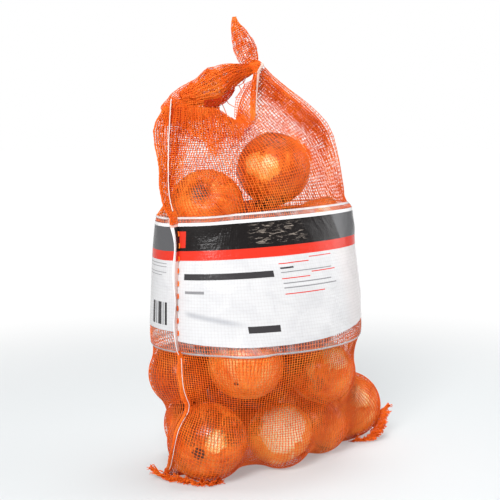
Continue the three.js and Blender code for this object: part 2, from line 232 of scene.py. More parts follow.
def rgba(value):
    """Gives a colour of three numbers its alpha, and leaves anything else as it is."""
    return (*value, 1) if isinstance(value, tuple) and len(value) == 3 else value


# %% [markdown]
# ## Meshes from points
# Yarn and film follow a surface that is worked out point by point, so their meshes are made from
# arrays. Each piece rides on the bag and hides the solid that it stands for.

# %% Meshes from points
def placed(points):
    """Points of the drawing, in millimetres, as metres in the frame."""
    return (np.asarray(points, float) - BOX_MIDDLE) * MM


def mesh_piece(name, points, faces, material, uv=None, uv_name="OFBake"):
    """A piece from points in millimetres and faces that all have the same number of corners."""
    faces = np.asarray(faces, np.int32)
    mesh = bpy.data.meshes.new(name)
    mesh.vertices.add(len(points))
    mesh.vertices.foreach_set("co", placed(points).astype(np.float32).ravel())
    mesh.loops.add(faces.size)
    mesh.loops.foreach_set("vertex_index", faces.ravel())
    mesh.polygons.add(len(faces))
    mesh.polygons.foreach_set("loop_start", np.arange(0, faces.size, faces.shape[1], dtype=np.int32))
    if uv is not None:
        layer = mesh.uv_layers.new(name=uv_name)
        layer.data.foreach_set("uv", np.asarray(uv, np.float32).ravel())
    mesh.update(calc_edges=True)
    mesh.polygons.foreach_set("use_smooth", np.ones(len(faces), bool))
    mesh.materials.append(material)
    piece = bpy.data.objects.new(name, mesh)
    scene.collection.objects.link(piece)
    return piece


def belongs(piece, finish, *solids):
    """Rides the piece on the bag and hides the solids that it stands for; its finish is not used."""
    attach(piece, "root")
    if solids:
        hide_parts(*solids)
    return piece


def deselect_all():
    bpy.ops.object.select_all(action="DESELECT")


def only(piece):
    deselect_all()
    piece.select_set(True)
    bpy.context.view_layer.objects.active = piece


# %% [markdown]
# ## Where the onions lie
# The onions that show were placed against the photograph. Those behind them are only roughly
# placed: every onion then pushes its neighbours away until none overlaps, the hidden ones giving
# way most, as a real fill settles.

# %% The fill
FILM_BOTTOM = 176.0
FILM_TOP = 356.0
FILM_TOP_RISE = 0.018
FILM_FRONT_RISE = 0.08
SHOWS, HIDDEN = 0.02, 1.0                    # how far an onion gives way to a neighbour
# Onions as [x, y, z, radius, how far it gives way].
ONIONS = np.array([
    [-124, -28, 53, 53, SHOWS], [-10, -28, 46, 46, SHOWS], [73, 3, 43, 43, SHOWS], [152, 43, 48, 48, SHOWS],
    [-82, 68, 49, 49, HIDDEN], [10, 80, 39, 39, HIDDEN],
    [-134, 23, 137, 44, SHOWS], [-80, -54, 157, 51, SHOWS], [54, -33, 127, 46, SHOWS],
    [-8, 36, 116, 46, HIDDEN], [80, 77, 97, 45, HIDDEN],
    [-42, -42, 274, 45, HIDDEN], [8, -56, 200, 46, HIDDEN], [79, -9, 230, 45, HIDDEN],
    [-70, 58, 182, 45, HIDDEN], [8, 49, 238, 47, HIDDEN], [64, 48, 172, 39, HIDDEN],
    [-76, 38, 270, 45, HIDDEN], [-10, 29, 324, 44, HIDDEN],
    [-109, -2, 364, 50, SHOWS], [-10, -9, 407, 51, SHOWS], [76, 0, 320, 45, SHOWS],
])
# Sections of the bag behind the film: height, middle x, half width, half depth, corner.
FILM_SECTIONS = np.array([
    [150, -22, 146, 104, 0.10], [191, -22, 149, 106, 0.10], [260, -22, 146, 92, 0.13],
    [304, -22, 142, 80, 0.18], [346, -21, 140, 66, 0.22], [362, -21, 139, 64, 0.22],
    [400, -21, 136, 50, 0.22],
])
CORNER_ANGLE = math.radians(152)
CORNER_SPREAD = math.radians(42)
FREE_TOP = 10.0                              # an onion whose middle is this near the film's top is free


def table_at(table, place):
    """Every column of a table after its first, at a place along the first."""
    table = np.asarray(table, float)
    return [np.interp(place, table[:, 0], table[:, column]) for column in range(1, table.shape[1])]


def keep_behind_film(at, radius):
    if at[2] < FILM_BOTTOM or at[2] > FILM_TOP - FREE_TOP:
        return
    middle, wide, deep, _ = table_at(FILM_SECTIONS, at[2])
    ratio = math.hypot((at[0] - middle) / (wide - radius), at[1] / (deep - radius))
    if ratio > 1:
        at[0] = middle + (at[0] - middle) / ratio
        at[1] /= ratio


def settled_onions(rounds=400):
    at, radius, share = ONIONS[:, :3].copy(), ONIONS[:, 3], ONIONS[:, 4]
    for _ in range(rounds):
        for one in range(len(at)):
            for other in range(one + 1, len(at)):
                across = at[other] - at[one]
                length = math.sqrt(across @ across)
                overlap = radius[one] + radius[other] - length
                if overlap > 0:
                    across *= overlap / (2 * length * (share[one] + share[other]))
                    at[one] -= across * share[one]
                    at[other] += across * share[other]
        for one in range(len(at)):
            at[one, 2] = max(at[one, 2], radius[one])
            keep_behind_film(at[one], radius[one])
    return at, radius


onion_at, onion_radius = settled_onions()
litres = (4 / 3 * math.pi * onion_radius ** 3).sum() / 1e6
print(len(onion_at), "onions of", onion_radius.min() * 2, "to", onion_radius.max() * 2, "mm,",
      round(litres, 2), "litres")

# %% [markdown]
# ## The shape of the net
# A net full of onions is a skin under tension. A grid of points is pulled towards its neighbours and
# pushed out of the onions, over and over, until it lies like the real net: tight over each onion and
# hollow between them. Its left side is the sewn seam, its upper edge the bag's mouth, and behind the
# film band it keeps the film's smooth section. Coarse rounds come first and finer ones after. Last,
# the band bulges where an onion presses on it.

# %% The edges of the bag
SEAM_LOWER = [[-172, 1, 5], [-175, -16, 22], [-179, -34, 42], [-178, -40, 62], [-171, -39, 82],
              [-152, -36, 106], [-160, -35, 122], [-164, -35, 140], [-163, -32, FILM_BOTTOM]]
SEAM_UPPER = [[-162, -8, FILM_TOP], [-167, -6, 385], [-169, -5, 430], [-168, -5, 470], [-165, -5, 500]]
FOLD_LOWER = [[197, 30, 40], [199, 36, 62], [186, 40, 84], [158, 38, 99], [122, 30, 120],
              [113, 16, 146], [125, 6, FILM_BOTTOM]]
FOLD_UPPER = [[118, 0, FILM_TOP], [112, 0, 378], [103, 0, 420], [89, 0, 460], [67, 0, 483],
              [34, 0, 506.5], [14, -1, 519], [-5, -2, 532], [-16, -3, 541], [-23, -4, 547]]
MOUTH = [[-165, -5, 500], [-152, -5, 498], [-141, -5, 494.5], [-125, -5, 492.5], [-110, -5, 493],
         [-98, -5, 492.5], [-88, -5, 485], [-78, -5, 478], [-70, -5, 474.5], [-64, -5, 478], [-63, -5, 490],
         [-58, -5, 504], [-49, -5, 519], [-38, -5, 532], [-23, -4, 547]]
BOTTOM_SEAM = [[-172, 1, 5], [-158, 2, 2], [-100, 8, 0], [-40, 15, 0], [30, 22, 0], [110, 24, 0],
               [160, 24, 4], [184, 27, 18], [197, 30, 40]]
CURVE_STEPS = 24                             # places worked out between two points of a curve


def smooth_curve(points, steps):
    """steps + 1 evenly spaced places on the smooth curve through a list of points."""
    given = np.asarray(points, float)
    ends = [2 * given[0] - given[1], *given, 2 * given[-1] - given[-2]]
    dense = []
    for before, start, end, after in zip(ends, ends[1:], ends[2:], ends[3:]):
        spans = [math.dist(a, b) ** 0.5 for a, b in ((before, start), (start, end), (end, after))]
        knots = np.cumsum([0] + spans)
        t = np.linspace(knots[1], knots[2], CURVE_STEPS)[:, None]

        def between(one, other, low, high):
            return (one * (knots[high] - t) + other * (t - knots[low])) / (knots[high] - knots[low])

        first = between(between(before, start, 0, 1), between(start, end, 1, 2), 0, 2)
        second = between(between(start, end, 1, 2), between(end, after, 2, 3), 1, 3)
        dense.append(between(first, second, 1, 2))
    dense = np.concatenate(dense)
    run = np.concatenate([[0], np.cumsum(np.linalg.norm(np.diff(dense, axis=0), axis=1))])
    where = np.linspace(0, run[-1], steps + 1)
    return np.stack([np.interp(where, run, dense[:, axis]) for axis in range(3)], axis=1)


# %% The first, loose grid
COLUMNS, LOWER_ROWS, FILM_ROWS, UPPER_ROWS, UNDERSIDE_ROWS = 32, 20, 11, 13, 7
FILM_SEAM_Y = -28.0                          # the seam lies to the front where it crosses the film
FULL_DEPTH, BAND_TOP_DEPTH, MOUTH_DEPTH = 104, 62, 4    # half depths of the loose bag


def film_height(points, share):
    x, y = points[..., 0], points[..., 1]
    top = FILM_TOP + FILM_TOP_RISE * (x - BOX_MIDDLE[0]) + FILM_FRONT_RISE * np.maximum(-y, 0)
    return FILM_BOTTOM + (top - FILM_BOTTOM) * share


def film_side(side):
    share = np.arange(1, FILM_ROWS) / FILM_ROWS
    z = FILM_BOTTOM + (FILM_TOP - FILM_BOTTOM) * share
    middle, wide, _, _ = table_at(FILM_SECTIONS, z)
    y = np.full(len(z), FILM_SEAM_Y if side < 0 else 0.0)
    return np.stack([middle + side * wide, y, z], axis=1)


def side_line(lower, side, upper):
    """One side of the bag from its foot to its mouth: net, film band and net."""
    return np.concatenate([smooth_curve(lower, LOWER_ROWS), film_side(side), smooth_curve(upper, UPPER_ROWS)])


def loose_grid():
    film_end = LOWER_ROWS + FILM_ROWS
    top_row = film_end + UPPER_ROWS
    ring = 2 * COLUMNS
    seam = side_line(SEAM_LOWER, -1, SEAM_UPPER)
    fold = side_line(FOLD_LOWER, 1, FOLD_UPPER)
    mouth, bottom = smooth_curve(MOUTH, COLUMNS), smooth_curve(BOTTOM_SEAM, COLUMNS)
    column = np.where(np.arange(ring) <= COLUMNS, np.arange(ring), ring - np.arange(ring))
    side = np.where(np.arange(ring) <= COLUMNS, -1.0, 1.0)
    u = column / COLUMNS
    grid = np.zeros((top_row + 1, ring, 3))
    depth_rows = [[0, 0], [UNDERSIDE_ROWS, FULL_DEPTH], [LOWER_ROWS, FULL_DEPTH],
                  [film_end, BAND_TOP_DEPTH], [top_row, MOUTH_DEPTH]]
    for row in range(top_row + 1):
        if row in (0, top_row):
            grid[row] = (bottom if row == 0 else mouth)[column]
            continue
        upper = min(max((row - film_end) / UPPER_ROWS, 0), 1)
        swing = np.sin(np.pi * u)
        share = ((1 - np.cos(np.pi * u)) / 2 * (1 - upper) + u * upper)[:, None]
        points = seam[row] * (1 - share) + fold[row] * share
        points[:, 1] += side * table_at(depth_rows, row)[0] * swing
        if row < LOWER_ROWS:
            risen = max((row - UNDERSIDE_ROWS) / (LOWER_ROWS - UNDERSIDE_ROWS), 0) * FILM_BOTTOM
            points[:, 2] += (risen - points[:, 2]) * np.sqrt(np.maximum(swing, 0))
        if row > film_end:
            chord = seam[top_row] * (1 - u[:, None]) + fold[top_row] * u[:, None]
            points += (mouth[column] - chord) * upper ** 2
        grid[row] = points
    return grid


# %% Draw the net tight
FINER = 4                                    # the net's fine grid has so many rows for each coarse one
SECTION_REACH = 22                           # mm beyond the film in which its section still acts


def smoothstep(value, low, high):
    share = np.clip((value - low) / (high - low), 0, 1)
    return share * share * (3 - 2 * share)


def push_out_of_onions(points, reach):
    for centre, radius in zip(onion_at, onion_radius + reach):
        away = points - centre
        distance = np.linalg.norm(away, axis=-1, keepdims=True)
        points[:] = np.where(distance < radius, centre + away * radius / np.maximum(distance, 1e-6), points)


def push_out_of_section(points, right_on):
    z = points[..., 2]
    fade = (smoothstep(z, FILM_BOTTOM - SECTION_REACH, FILM_BOTTOM + 4)
            * (1 - smoothstep(z, FILM_TOP - 6, FILM_TOP + SECTION_REACH)))
    middle, wide, deep, corner = table_at(FILM_SECTIONS, z)
    x, y = points[..., 0] - middle, points[..., 1]
    turn = np.arctan2(y, x) - CORNER_ANGLE
    near = 1 - smoothstep(np.abs(np.arctan2(np.sin(turn), np.cos(turn))), 0, CORNER_SPREAD)
    wanted = (1 + corner * near) * (0.8 + 0.2 * fade)
    ratio = np.maximum(np.hypot(x / wide, y / deep), 0.05)
    grow = np.where((fade > 0) & (right_on | (ratio < wanted)), wanted / ratio, 1.0)
    points[..., 0] = middle + x * grow
    points[..., 1] = y * grow


def draw_tight(grid, rounds, finer, reach=1.2, pull=0.5, seam_hold=0.6, thinnest=3.2):
    """Rounds of pulling each point to its neighbours and pushing it out of the onions.

    The seam is held where it was drawn, and front and rear stay twice `thinnest` apart.
    """
    columns = grid.shape[1] // 2
    start, end, top = LOWER_ROWS * finer, (LOWER_ROWS + FILM_ROWS) * finer, grid.shape[0] - 1
    rows = np.arange(1, top)
    on_film = ((rows >= start) & (rows <= end))[:, None]
    share = ((rows - start) / (FILM_ROWS * finer))[:, None]
    home = grid[1:top, [0, columns]].copy()
    hold_seam = np.where(on_film, 0.1, seam_hold)
    hold_fold = np.where(on_film[:, 0], 0.0, np.where((rows > end) | (rows < start / 2), 1.0, 0.1))[:, None]
    for _ in range(rounds):
        inner = grid[1:top]
        mean = (grid[:-2] + grid[2:] + np.roll(inner, 1, 1) + np.roll(inner, -1, 1)) / 4
        points = inner + (mean - inner) * pull
        points[..., 2] = np.where(on_film, film_height(points, share), points[..., 2])
        points[:, 0] += (home[:, 0] - points[:, 0]) * hold_seam
        points[:, columns] += (home[:, 1] - points[:, columns]) * hold_fold
        free = points[~on_film[:, 0]]
        push_out_of_onions(free, reach)
        points[~on_film[:, 0]] = free
        push_out_of_section(points, on_film)
        points[..., 2] = np.maximum(points[..., 2], 0)
        upper = points[end:]
        front, rear = upper[:, 1:columns], upper[:, :columns:-1]
        short = np.maximum(2 * thinnest - (rear[..., 1] - front[..., 1]), 0) / 2
        front[..., 1] -= short
        rear[..., 1] += short
        grid[1:top] = points
    return grid


def twice_as_fine(grid):
    wide = np.empty((grid.shape[0], grid.shape[1] * 2, 3))
    wide[:, ::2] = grid
    wide[:, 1::2] = (grid + np.roll(grid, -1, 1)) / 2
    tall = np.empty((grid.shape[0] * 2 - 1, wide.shape[1], 3))
    tall[::2] = wide
    tall[1::2] = (wide[:-1] + wide[1:]) / 2
    return tall


def bulge_over_onions(band, reach=1.0, rounds=14):
    """Moves the band's points out of the onions on the level, and eases their neighbours along."""
    needed = np.zeros(band.shape)
    for centre, radius in zip(onion_at, onion_radius + reach):
        away = (band + needed - centre) * (1, 1, 0)
        level = np.sqrt(np.maximum(radius ** 2 - (band[..., 2:] - centre[2]) ** 2, 0))
        distance = np.linalg.norm(away, axis=-1, keepdims=True)
        needed += away * np.maximum(level / np.maximum(distance, 1e-6) - 1, 0)
    bulge = needed
    for _ in range(rounds):
        tall = np.pad(bulge, ((1, 1), (0, 0), (0, 0)), mode="edge")
        mean = (tall[:-2] + tall[2:] + np.roll(bulge, 1, 1) + np.roll(bulge, -1, 1)) / 4
        keep = np.linalg.norm(needed, axis=-1) > np.linalg.norm(mean, axis=-1)
        bulge = np.where(keep[..., None], needed, mean)
    print("the film bulges by up to", round(float(np.linalg.norm(bulge, axis=-1).max()), 1), "mm")
    band += bulge


skin = draw_tight(loose_grid(), 420, 1)
for rounds, finer in ((160, 2), (60, FINER)):
    skin = draw_tight(twice_as_fine(skin), rounds, finer)
film_rows = slice(LOWER_ROWS * FINER, (LOWER_ROWS + FILM_ROWS) * FINER + 1)
bulge_over_onions(skin[film_rows])
print("net surface:", skin.shape[0], "by", skin.shape[1], "points")

# %% [markdown]
# ## Knitting
# A net like this is knitted on a warp machine: chains of loops run up the bag, and thinner threads
# cross from chain to chain. `knit` lays both on any sheet of points: the chains are flat cords that
# swell at each loop, and the cross threads are straight between two chains.

# %% Knitting
rng = np.random.default_rng(11)
CHAIN_SHARE, CHAIN_THINNEST = 0.205, 0.45     # a chain's radius as a share of the room it has, and at least
CROWDED = 2.7                                # below this room every second chain or thread is left out
NECK_OF_LOOP = 0.72                          # a chain's radius between two loops, as a share
CHAIN_FLATNESS = 0.7


def sheet_at(sheet, v, u, wrap):
    """Places on a sheet of points: v runs over its rows and u over its columns, both from 0 to 1."""
    rows, columns = sheet.shape[:2]
    r = np.clip(v * (rows - 1), 0, rows - 1 - 1e-6)
    c = u * columns if wrap else np.clip(u * (columns - 1), 0, columns - 1 - 1e-6)
    r0, c0 = np.floor(r).astype(int), np.floor(c).astype(int)
    fr, fc = (r - r0)[..., None], (c - c0)[..., None]
    c1 = c0 + 1
    if wrap:
        c0, c1 = c0 % columns, c1 % columns
    low = sheet[r0, c0] * (1 - fc) + sheet[r0, c1] * fc
    high = sheet[r0 + 1, c0] * (1 - fc) + sheet[r0 + 1, c1] * fc
    return low * (1 - fr) + high * fr


def unit(vectors):
    return vectors / np.maximum(np.linalg.norm(vectors, axis=-1, keepdims=True), 1e-9)


def tube_faces(rings, sides, tubes):
    """Quads round tubes whose points are ordered tube by tube, ring by ring, side by side."""
    tube, ring, side = np.meshgrid(np.arange(tubes), np.arange(rings - 1), np.arange(sides), indexing="ij")
    first = (tube * rings + ring) * sides
    turn = (side + 1) % sides
    quads = np.stack([first + side, first + turn, first + sides + turn, first + sides + side], axis=-1)
    return quads.reshape(-1, 4), tube.ravel(), ring.ravel(), side.ravel()


def strands(paths, along, out, radius, sides, flat=1.0):
    """Tubes round paths [tube, place, 3], with a radius for each place and a flatness."""
    across = unit(np.cross(along, out))
    lift = unit(np.cross(across, along))
    turns = np.arange(sides) * 2 * np.pi / sides + np.pi / sides
    ring = (across[..., None, :] * np.cos(turns)[:, None]
            + lift[..., None, :] * np.sin(turns)[:, None] * flat)
    return paths[..., None, :] + ring * np.asarray(radius)[..., None, None]


def slopes_of(sheet, vv, uu, wrap):
    """Directions along the chains, across them and out of the sheet."""
    step_u, step_v = 0.25 / sheet.shape[1], 0.5 / sheet.shape[0]
    ahead = sheet_at(sheet, np.minimum(vv + step_v, 1), uu, wrap)
    along = unit(ahead - sheet_at(sheet, np.maximum(vv - step_v, 0), uu, wrap))
    next_u = (uu + step_u) % 1 if wrap else np.minimum(uu + step_u, 1)
    last_u = (uu - step_u) % 1 if wrap else np.maximum(uu - step_u, 0)
    side = unit(sheet_at(sheet, vv, next_u, wrap) - sheet_at(sheet, vv, last_u, wrap))
    return along, side, unit(np.cross(side, along))


def knit(name, sheet, chains, loops, material, u_range=(0, 1), v_range=(0, 1), wrap=False,
         chain_radius=0.74, thread_radius=0.40, wander=0.3, lift=0.0, close_side=False, ground=0.45,
         present=None, thinning=False):
    """A knitted piece on a sheet of points, with so many chains across it and loops along it.

    present(across, up, luck) says which stitches are there, luck being one draw for each chain.
    """
    u = u_range[0] + (u_range[1] - u_range[0]) * np.arange(chains + 1) / chains
    v = v_range[0] + (v_range[1] - v_range[0]) * np.arange(2 * loops + 1) / (2 * loops)
    vv, uu = np.meshgrid(v, u, indexing="ij")
    along, side, out = slopes_of(sheet, vv, uu, wrap)
    drift = rng.normal(0, wander, vv.shape)
    drift[1:-1] = (drift[:-2] + drift[1:-1] * 2 + drift[2:]) / 4
    at = sheet_at(sheet, vv, uu, wrap) + side * drift[..., None] + out * lift
    at[..., 2] = np.maximum(at[..., 2], ground)
    last = chains + 1 if close_side else chains
    swell = np.where(np.arange(len(v)) % 2 == 0, 1.0, NECK_OF_LOOP)
    room = np.linalg.norm(np.roll(at, -1, 1) - at, axis=-1)
    room[:, -1] = room[:, -2]
    gauge, crowded = np.full(room.shape, chain_radius), np.zeros(room.shape, bool)
    rise = np.linalg.norm(np.gradient(at, axis=0), axis=-1) * 2
    if thinning:
        crowded = room < CROWDED
        gauge = np.clip(np.where(crowded, 2 * room, room) * CHAIN_SHARE, CHAIN_THINNEST, chain_radius)
    cords = np.swapaxes(at, 0, 1)[:last]
    chain_points = strands(cords, np.swapaxes(along, 0, 1)[:last], np.swapaxes(out, 0, 1)[:last],
                           gauge.T[:last] * swell, 4, CHAIN_FLATNESS)
    chain_faces, tube, ring, corner = tube_faces(len(v), 4, last)
    knots = at[::2]
    slope = rng.normal(0, 0.25, knots[:, :-1].shape[:2])[..., None] * along[::2, :-1]
    path = np.stack([knots[:, :-1] + slope, knots[:, 1:] - slope], axis=2).reshape(-1, 2, 3)
    normal = np.repeat(out[::2, :-1].reshape(-1, 1, 3), 2, axis=1)
    ahead = unit(np.repeat(path[:, 1:] - path[:, :1], 2, axis=1))
    thin = (np.minimum(gauge[::2, :-1] / chain_radius, 1) * thread_radius).reshape(-1, 1)
    thread_points = strands(path, ahead, normal, np.repeat(thin, 2, axis=1), 3)
    thread_faces, tube_t, _, corner_t = tube_faces(2, 3, len(path))
    column, row = tube_t % chains, tube_t // chains
    points = np.concatenate([chain_points.reshape(-1, 3), thread_points.reshape(-1, 3)])
    faces = np.concatenate([chain_faces, thread_faces + chain_points.size // 3])
    uv = np.concatenate([strip_uv(tube, ring, corner, last, len(v) - 1, 4, 0.0),
                         strip_uv(column, row, corner_t, chains, loops + 1, 3, 0.5)])
    there = np.concatenate([~(crowded[ring, tube] & (tube % 2 == 1)),
                            ~((rise[2 * row, column] < CROWDED) & (row % 2 == 1) & thinning)])
    if present is not None:
        luck = rng.random(last + 1)
        there &= np.concatenate([present(tube / chains, ring / (2 * loops), luck[tube]),
                                 present((column + 0.5) / chains, row / loops, luck[column])])
    if not there.all():
        used, faces = np.unique(faces[there], return_inverse=True)
        points, faces, uv = points[used], faces.reshape(-1, 4), uv[there]
    return mesh_piece(name, points, faces, material, uv)


def strip_uv(tube, ring, corner, tubes, rings, sides, start):
    """A place of its own in the unit square for every face of a set of tubes."""
    left = start + 0.5 * (tube + corner / sides) / tubes
    right = start + 0.5 * (tube + (corner + 1) / sides) / tubes
    low, high = ring / rings, (ring + 1) / rings
    return np.stack([left, low, right, low, right, high, left, high], axis=-1).reshape(-1, 4, 2)


# %% [markdown]
# ## Yarn
# The yarn is an orange plastic with a soft sheen, redder in one place and paler in another. Slow noise
# varies it over the bag and fine noise along each cord. Deep folds and the roll's underside have a
# darker, redder yarn as painted shade. The white yarns are the sewing thread and the soft string.

# %% Yarn
def yarn_material(name, deep, bright, pale, rough=0.5):
    shader = Shader(name)
    place = shader.node("ShaderNodeTexCoord", None, None, 3)
    slow = shader.noise(place, 24, 2)
    fine = shader.noise(place, 900, 1)
    tone = slow * 0.55 + fine * 0.45
    shader.set(Base_Color=shader.palette(tone, (0.3, deep), (0.52, bright), (0.74, pale)),
               Roughness=fine.ramp(0.3, 0.7, rough - 0.08, rough + 0.12),
               Specular_IOR_Level=0.14, Normal=shader.bump(fine, 0.4, 0.0003))
    return shader.material


NET_YARN = yarn_material("net_yarn", (0.60, 0.060, 0.005), (0.87, 0.138, 0.010), (1.0, 0.31, 0.048))
# A darker, redder copy of the net's yarn: painted shade for deep folds and the roll's underside.
PAINTED_SHADE_YARN = yarn_material("shaded_yarn", (0.38, 0.014, 0.002), (0.56, 0.032, 0.004), (0.76, 0.09, 0.012))
WHITE_YARN = yarn_material("white_yarn", (0.66, 0.50, 0.44), (0.78, 0.68, 0.63), (0.90, 0.84, 0.81), 0.6)
SOFT_YARN = yarn_material("soft_yarn", (0.52, 0.30, 0.23), (0.66, 0.47, 0.40), (0.78, 0.64, 0.57), 0.7)

# %% The net round the onions
CHAINS = 196
LOOPS = 148
HALF_UP = 0.5


def knit_bag():
    panels = []
    for side, start in (("front", 0.0), ("rear", 0.5)):
        for part, low, high in (("lower", 0.0, HALF_UP), ("upper", HALF_UP, 1.0)):
            panel = knit(f"net_{side}_{part}", skin, CHAINS // 2, round(LOOPS * (high - low)), NET_YARN,
                         (start, start + 0.5), (low, high), wrap=True, wander=0.35, thinning=True)
            panels.append(belongs(panel, "net", "net_bag"))
    return panels


for panel in knit_bag():
    print(panel.name, len(panel.data.polygons) * 2, "triangles")

# %% [markdown]
# ## Onions
# An onion starts as a round ball. Its top is drawn up into a dry neck and its underside is pressed
# in where the roots were, both with soft selection; low ribs then run from pole to pole. Copies are
# turned and scaled, each with its own mesh, and keep their own coordinates for the papery skin.

# %% Onion shapes
def select_where(piece, test):
    """Selects the corners of a piece that pass a test, in edit mode."""
    edit = bmesh.from_edit_mesh(piece.data)
    for corner in edit.verts:
        corner.select = bool(test(corner.co))
    edit.select_flush_mode()
    bmesh.update_edit_mesh(piece.data)


def onion_master(name, squat, neck, root, ribs, seed, segments=96, rings=64):
    """A ball of radius one, shaped to an onion: its height, neck, root and number of ribs."""
    deselect_all()
    bpy.ops.mesh.primitive_uv_sphere_add(segments=segments, ring_count=rings, radius=1)
    onion = bpy.context.object
    onion.name = name
    bpy.ops.object.mode_set(mode="EDIT")
    select_where(onion, lambda co: co.z > 0.995)
    bpy.ops.transform.translate(value=(0, 0, neck), use_proportional_edit=True,
                                proportional_edit_falloff="SHARP", proportional_size=0.5)
    select_where(onion, lambda co: co.z < -0.985)
    bpy.ops.transform.translate(value=(0, 0, root), use_proportional_edit=True,
                                proportional_edit_falloff="SMOOTH", proportional_size=0.3)
    bpy.ops.mesh.select_all(action="SELECT")
    bpy.ops.transform.resize(value=(1, 1, squat))
    bpy.ops.object.mode_set(mode="OBJECT")
    rib_the_skin(onion, ribs, seed)
    return onion


def rib_the_skin(onion, ribs, seed):
    """Low ribs from pole to pole, and a slow unevenness."""
    draw = np.random.default_rng(seed)
    count = len(onion.data.vertices)
    points = np.empty(count * 3)
    onion.data.vertices.foreach_get("co", points)
    points = points.reshape(-1, 3)
    turn = np.arctan2(points[:, 1], points[:, 0])
    belly = np.sqrt(np.clip(1 - points[:, 2] ** 2, 0, 1))
    shape = np.zeros(count)
    for waves in range(2, 6):
        shape += draw.normal(0, 0.012 / waves) * np.cos(waves * turn + draw.uniform(0, 6.3))
    shape += 0.004 * np.cos(ribs * turn + 1.5 * points[:, 2]) * belly
    shape += 0.003 * np.cos((ribs * 2 + 3) * turn + draw.uniform(0, 6.3)) * belly
    points *= (1 + shape)[:, None]
    points /= np.linalg.norm(points[:, :2], axis=1).max()
    onion.data.vertices.foreach_set("co", points.ravel())
    onion.data.update()


masters = [onion_master("onion_round", 0.95, 0.10, 0.05, 17, 3),
           onion_master("onion_squat", 0.90, 0.13, 0.06, 19, 5),
           onion_master("onion_high", 0.98, 0.14, 0.05, 15, 8)]

# %% [markdown]
# ## Onion skin
# The dry outer skin is thin, glossy and golden brown, with fine veins from pole to pole. Where it has
# flaked off, a paler and smoother skin shows. It is darkest round the roots and the neck. Dark streaks
# are partly the skin's own and partly painted shade, and the deep hidden onions are dark as painted shade.

# %% Onion skin
DRY_SKIN = [(0.28, (0.27, 0.028, 0.005)), (0.42, (0.60, 0.098, 0.012)), (0.54, (0.87, 0.22, 0.026)),
            (0.70, (0.97, 0.43, 0.085))]
PEELED_SKIN = [(0.34, (0.78, 0.28, 0.04)), (0.52, (0.96, 0.54, 0.14)), (0.66, (1.0, 0.80, 0.36)),
               (0.80, (1.0, 0.94, 0.62))]
VEIN_BROWN, STREAK_AND_SHADE_BROWN, SPOT_BROWN = (0.24, 0.05, 0.008), (0.13, 0.034, 0.008), (0.075, 0.030, 0.014)
ROOT_BROWN, NECK_BROWN = (0.075, 0.035, 0.018), (0.20, 0.09, 0.035)


def onion_skin():
    shader = Shader("onion_skin")
    place = shader.node("ShaderNodeAttribute", {"attribute_name": "skin_place"}, None, 1)
    tone = shader.node("ShaderNodeAttribute", {"attribute_name": "skin_tone"}, None, 1)
    marks = shader.node("ShaderNodeAttribute", {"attribute_name": "skin_marks"}, None, 1)
    warm, flaky, seed = shader.parts(tone)
    peeled_patch, streak_and_shade_patch, spot_patch = shader.parts(marks)
    x, y, z = shader.parts(place)
    round_way = shader.node("ShaderNodeVectorMath", {"operation": "NORMALIZE"},
                            {0: shader.vector(x, y, 0.0)})
    cx, cy, _ = shader.parts(round_way)
    off_pole = (z * z).ramp(0.90, 0.45)
    veins = shader.noise(shader.vector(cx * 9.0 + seed, cy * 9.0 + seed, z * 1.3), 2.6, 3, 0.6)
    fine_veins = shader.noise(shader.vector(cx * 26.0 + seed, cy * 26.0, z * 1.6), 2.0, 2)
    broad = shader.noise(shader.vector(cx * 2.0 + seed, cy * 2.0, z * 1.2 + seed), 1.5, 2)
    blotch = shader.noise(shader.vector(x + seed, y, z - seed), 2.4, 4, 0.62)
    ragged = shader.noise(shader.vector(x * 1.2 - seed, y * 1.2, z * 0.9 + seed), 4.5, 3, 0.6) - 0.5
    flakes = shader.noise(shader.vector(cx * 1.1 - seed, cy * 1.1 + seed, z * 0.8), 1.5, 3, 0.65)
    flaked = flakes.ramp(0.57, 0.60)
    tan = broad * 0.35 + blotch * 0.4 + (veins - 0.5) * off_pole * 0.5 + 0.13 + warm
    body = shader.palette(tan, *DRY_SKIN)
    paleness = peeled_patch.ramp(0.0, 0.7, 0.0, 0.20)
    peeled = shader.palette(veins * 0.5 + blotch * 0.5 + warm + paleness, *PEELED_SKIN)
    colour = shader.mix(flaked * flaky, body, peeled)
    colour = shader.mix((peeled_patch + ragged * 1.1).ramp(0.0, 0.08), colour, peeled)
    colour = shader.mix(fine_veins.ramp(0.55, 0.68, 0, 0.5) * off_pole, colour, VEIN_BROWN)
    # Dark streaks: the skin's own stripes, and painted shade where an onion's edge faces a gap.
    streaks_and_shade = (streak_and_shade_patch + ragged * 0.8).ramp(-0.05, 0.25) * veins.ramp(0.44, 0.52)
    colour = shader.mix(streaks_and_shade * 0.8, colour, STREAK_AND_SHADE_BROWN)
    spot = (spot_patch + ragged * 0.9).ramp(0.0, 0.3)
    colour = shader.mix(spot * blotch.ramp(0.35, 0.5, 0.55, 1.0), colour, SPOT_BROWN)
    colour = shader.mix(z.ramp(-0.86, -0.93) * blotch.ramp(0.30, 0.45, 0.55, 1), colour, ROOT_BROWN)
    colour = shader.mix(z.ramp(0.90, 1.02), colour, NECK_BROWN)
    relief = veins * 0.5 + fine_veins * 0.3 + ragged * 0.6 + flaked * 0.5
    shader.set(Base_Color=colour, Roughness=blotch.ramp(0.3, 0.7, 0.22, 0.44), Specular_IOR_Level=0.5,
               Normal=shader.bump(relief, 0.5, 0.0012))
    return shader.material


ONION_SKIN = onion_skin()

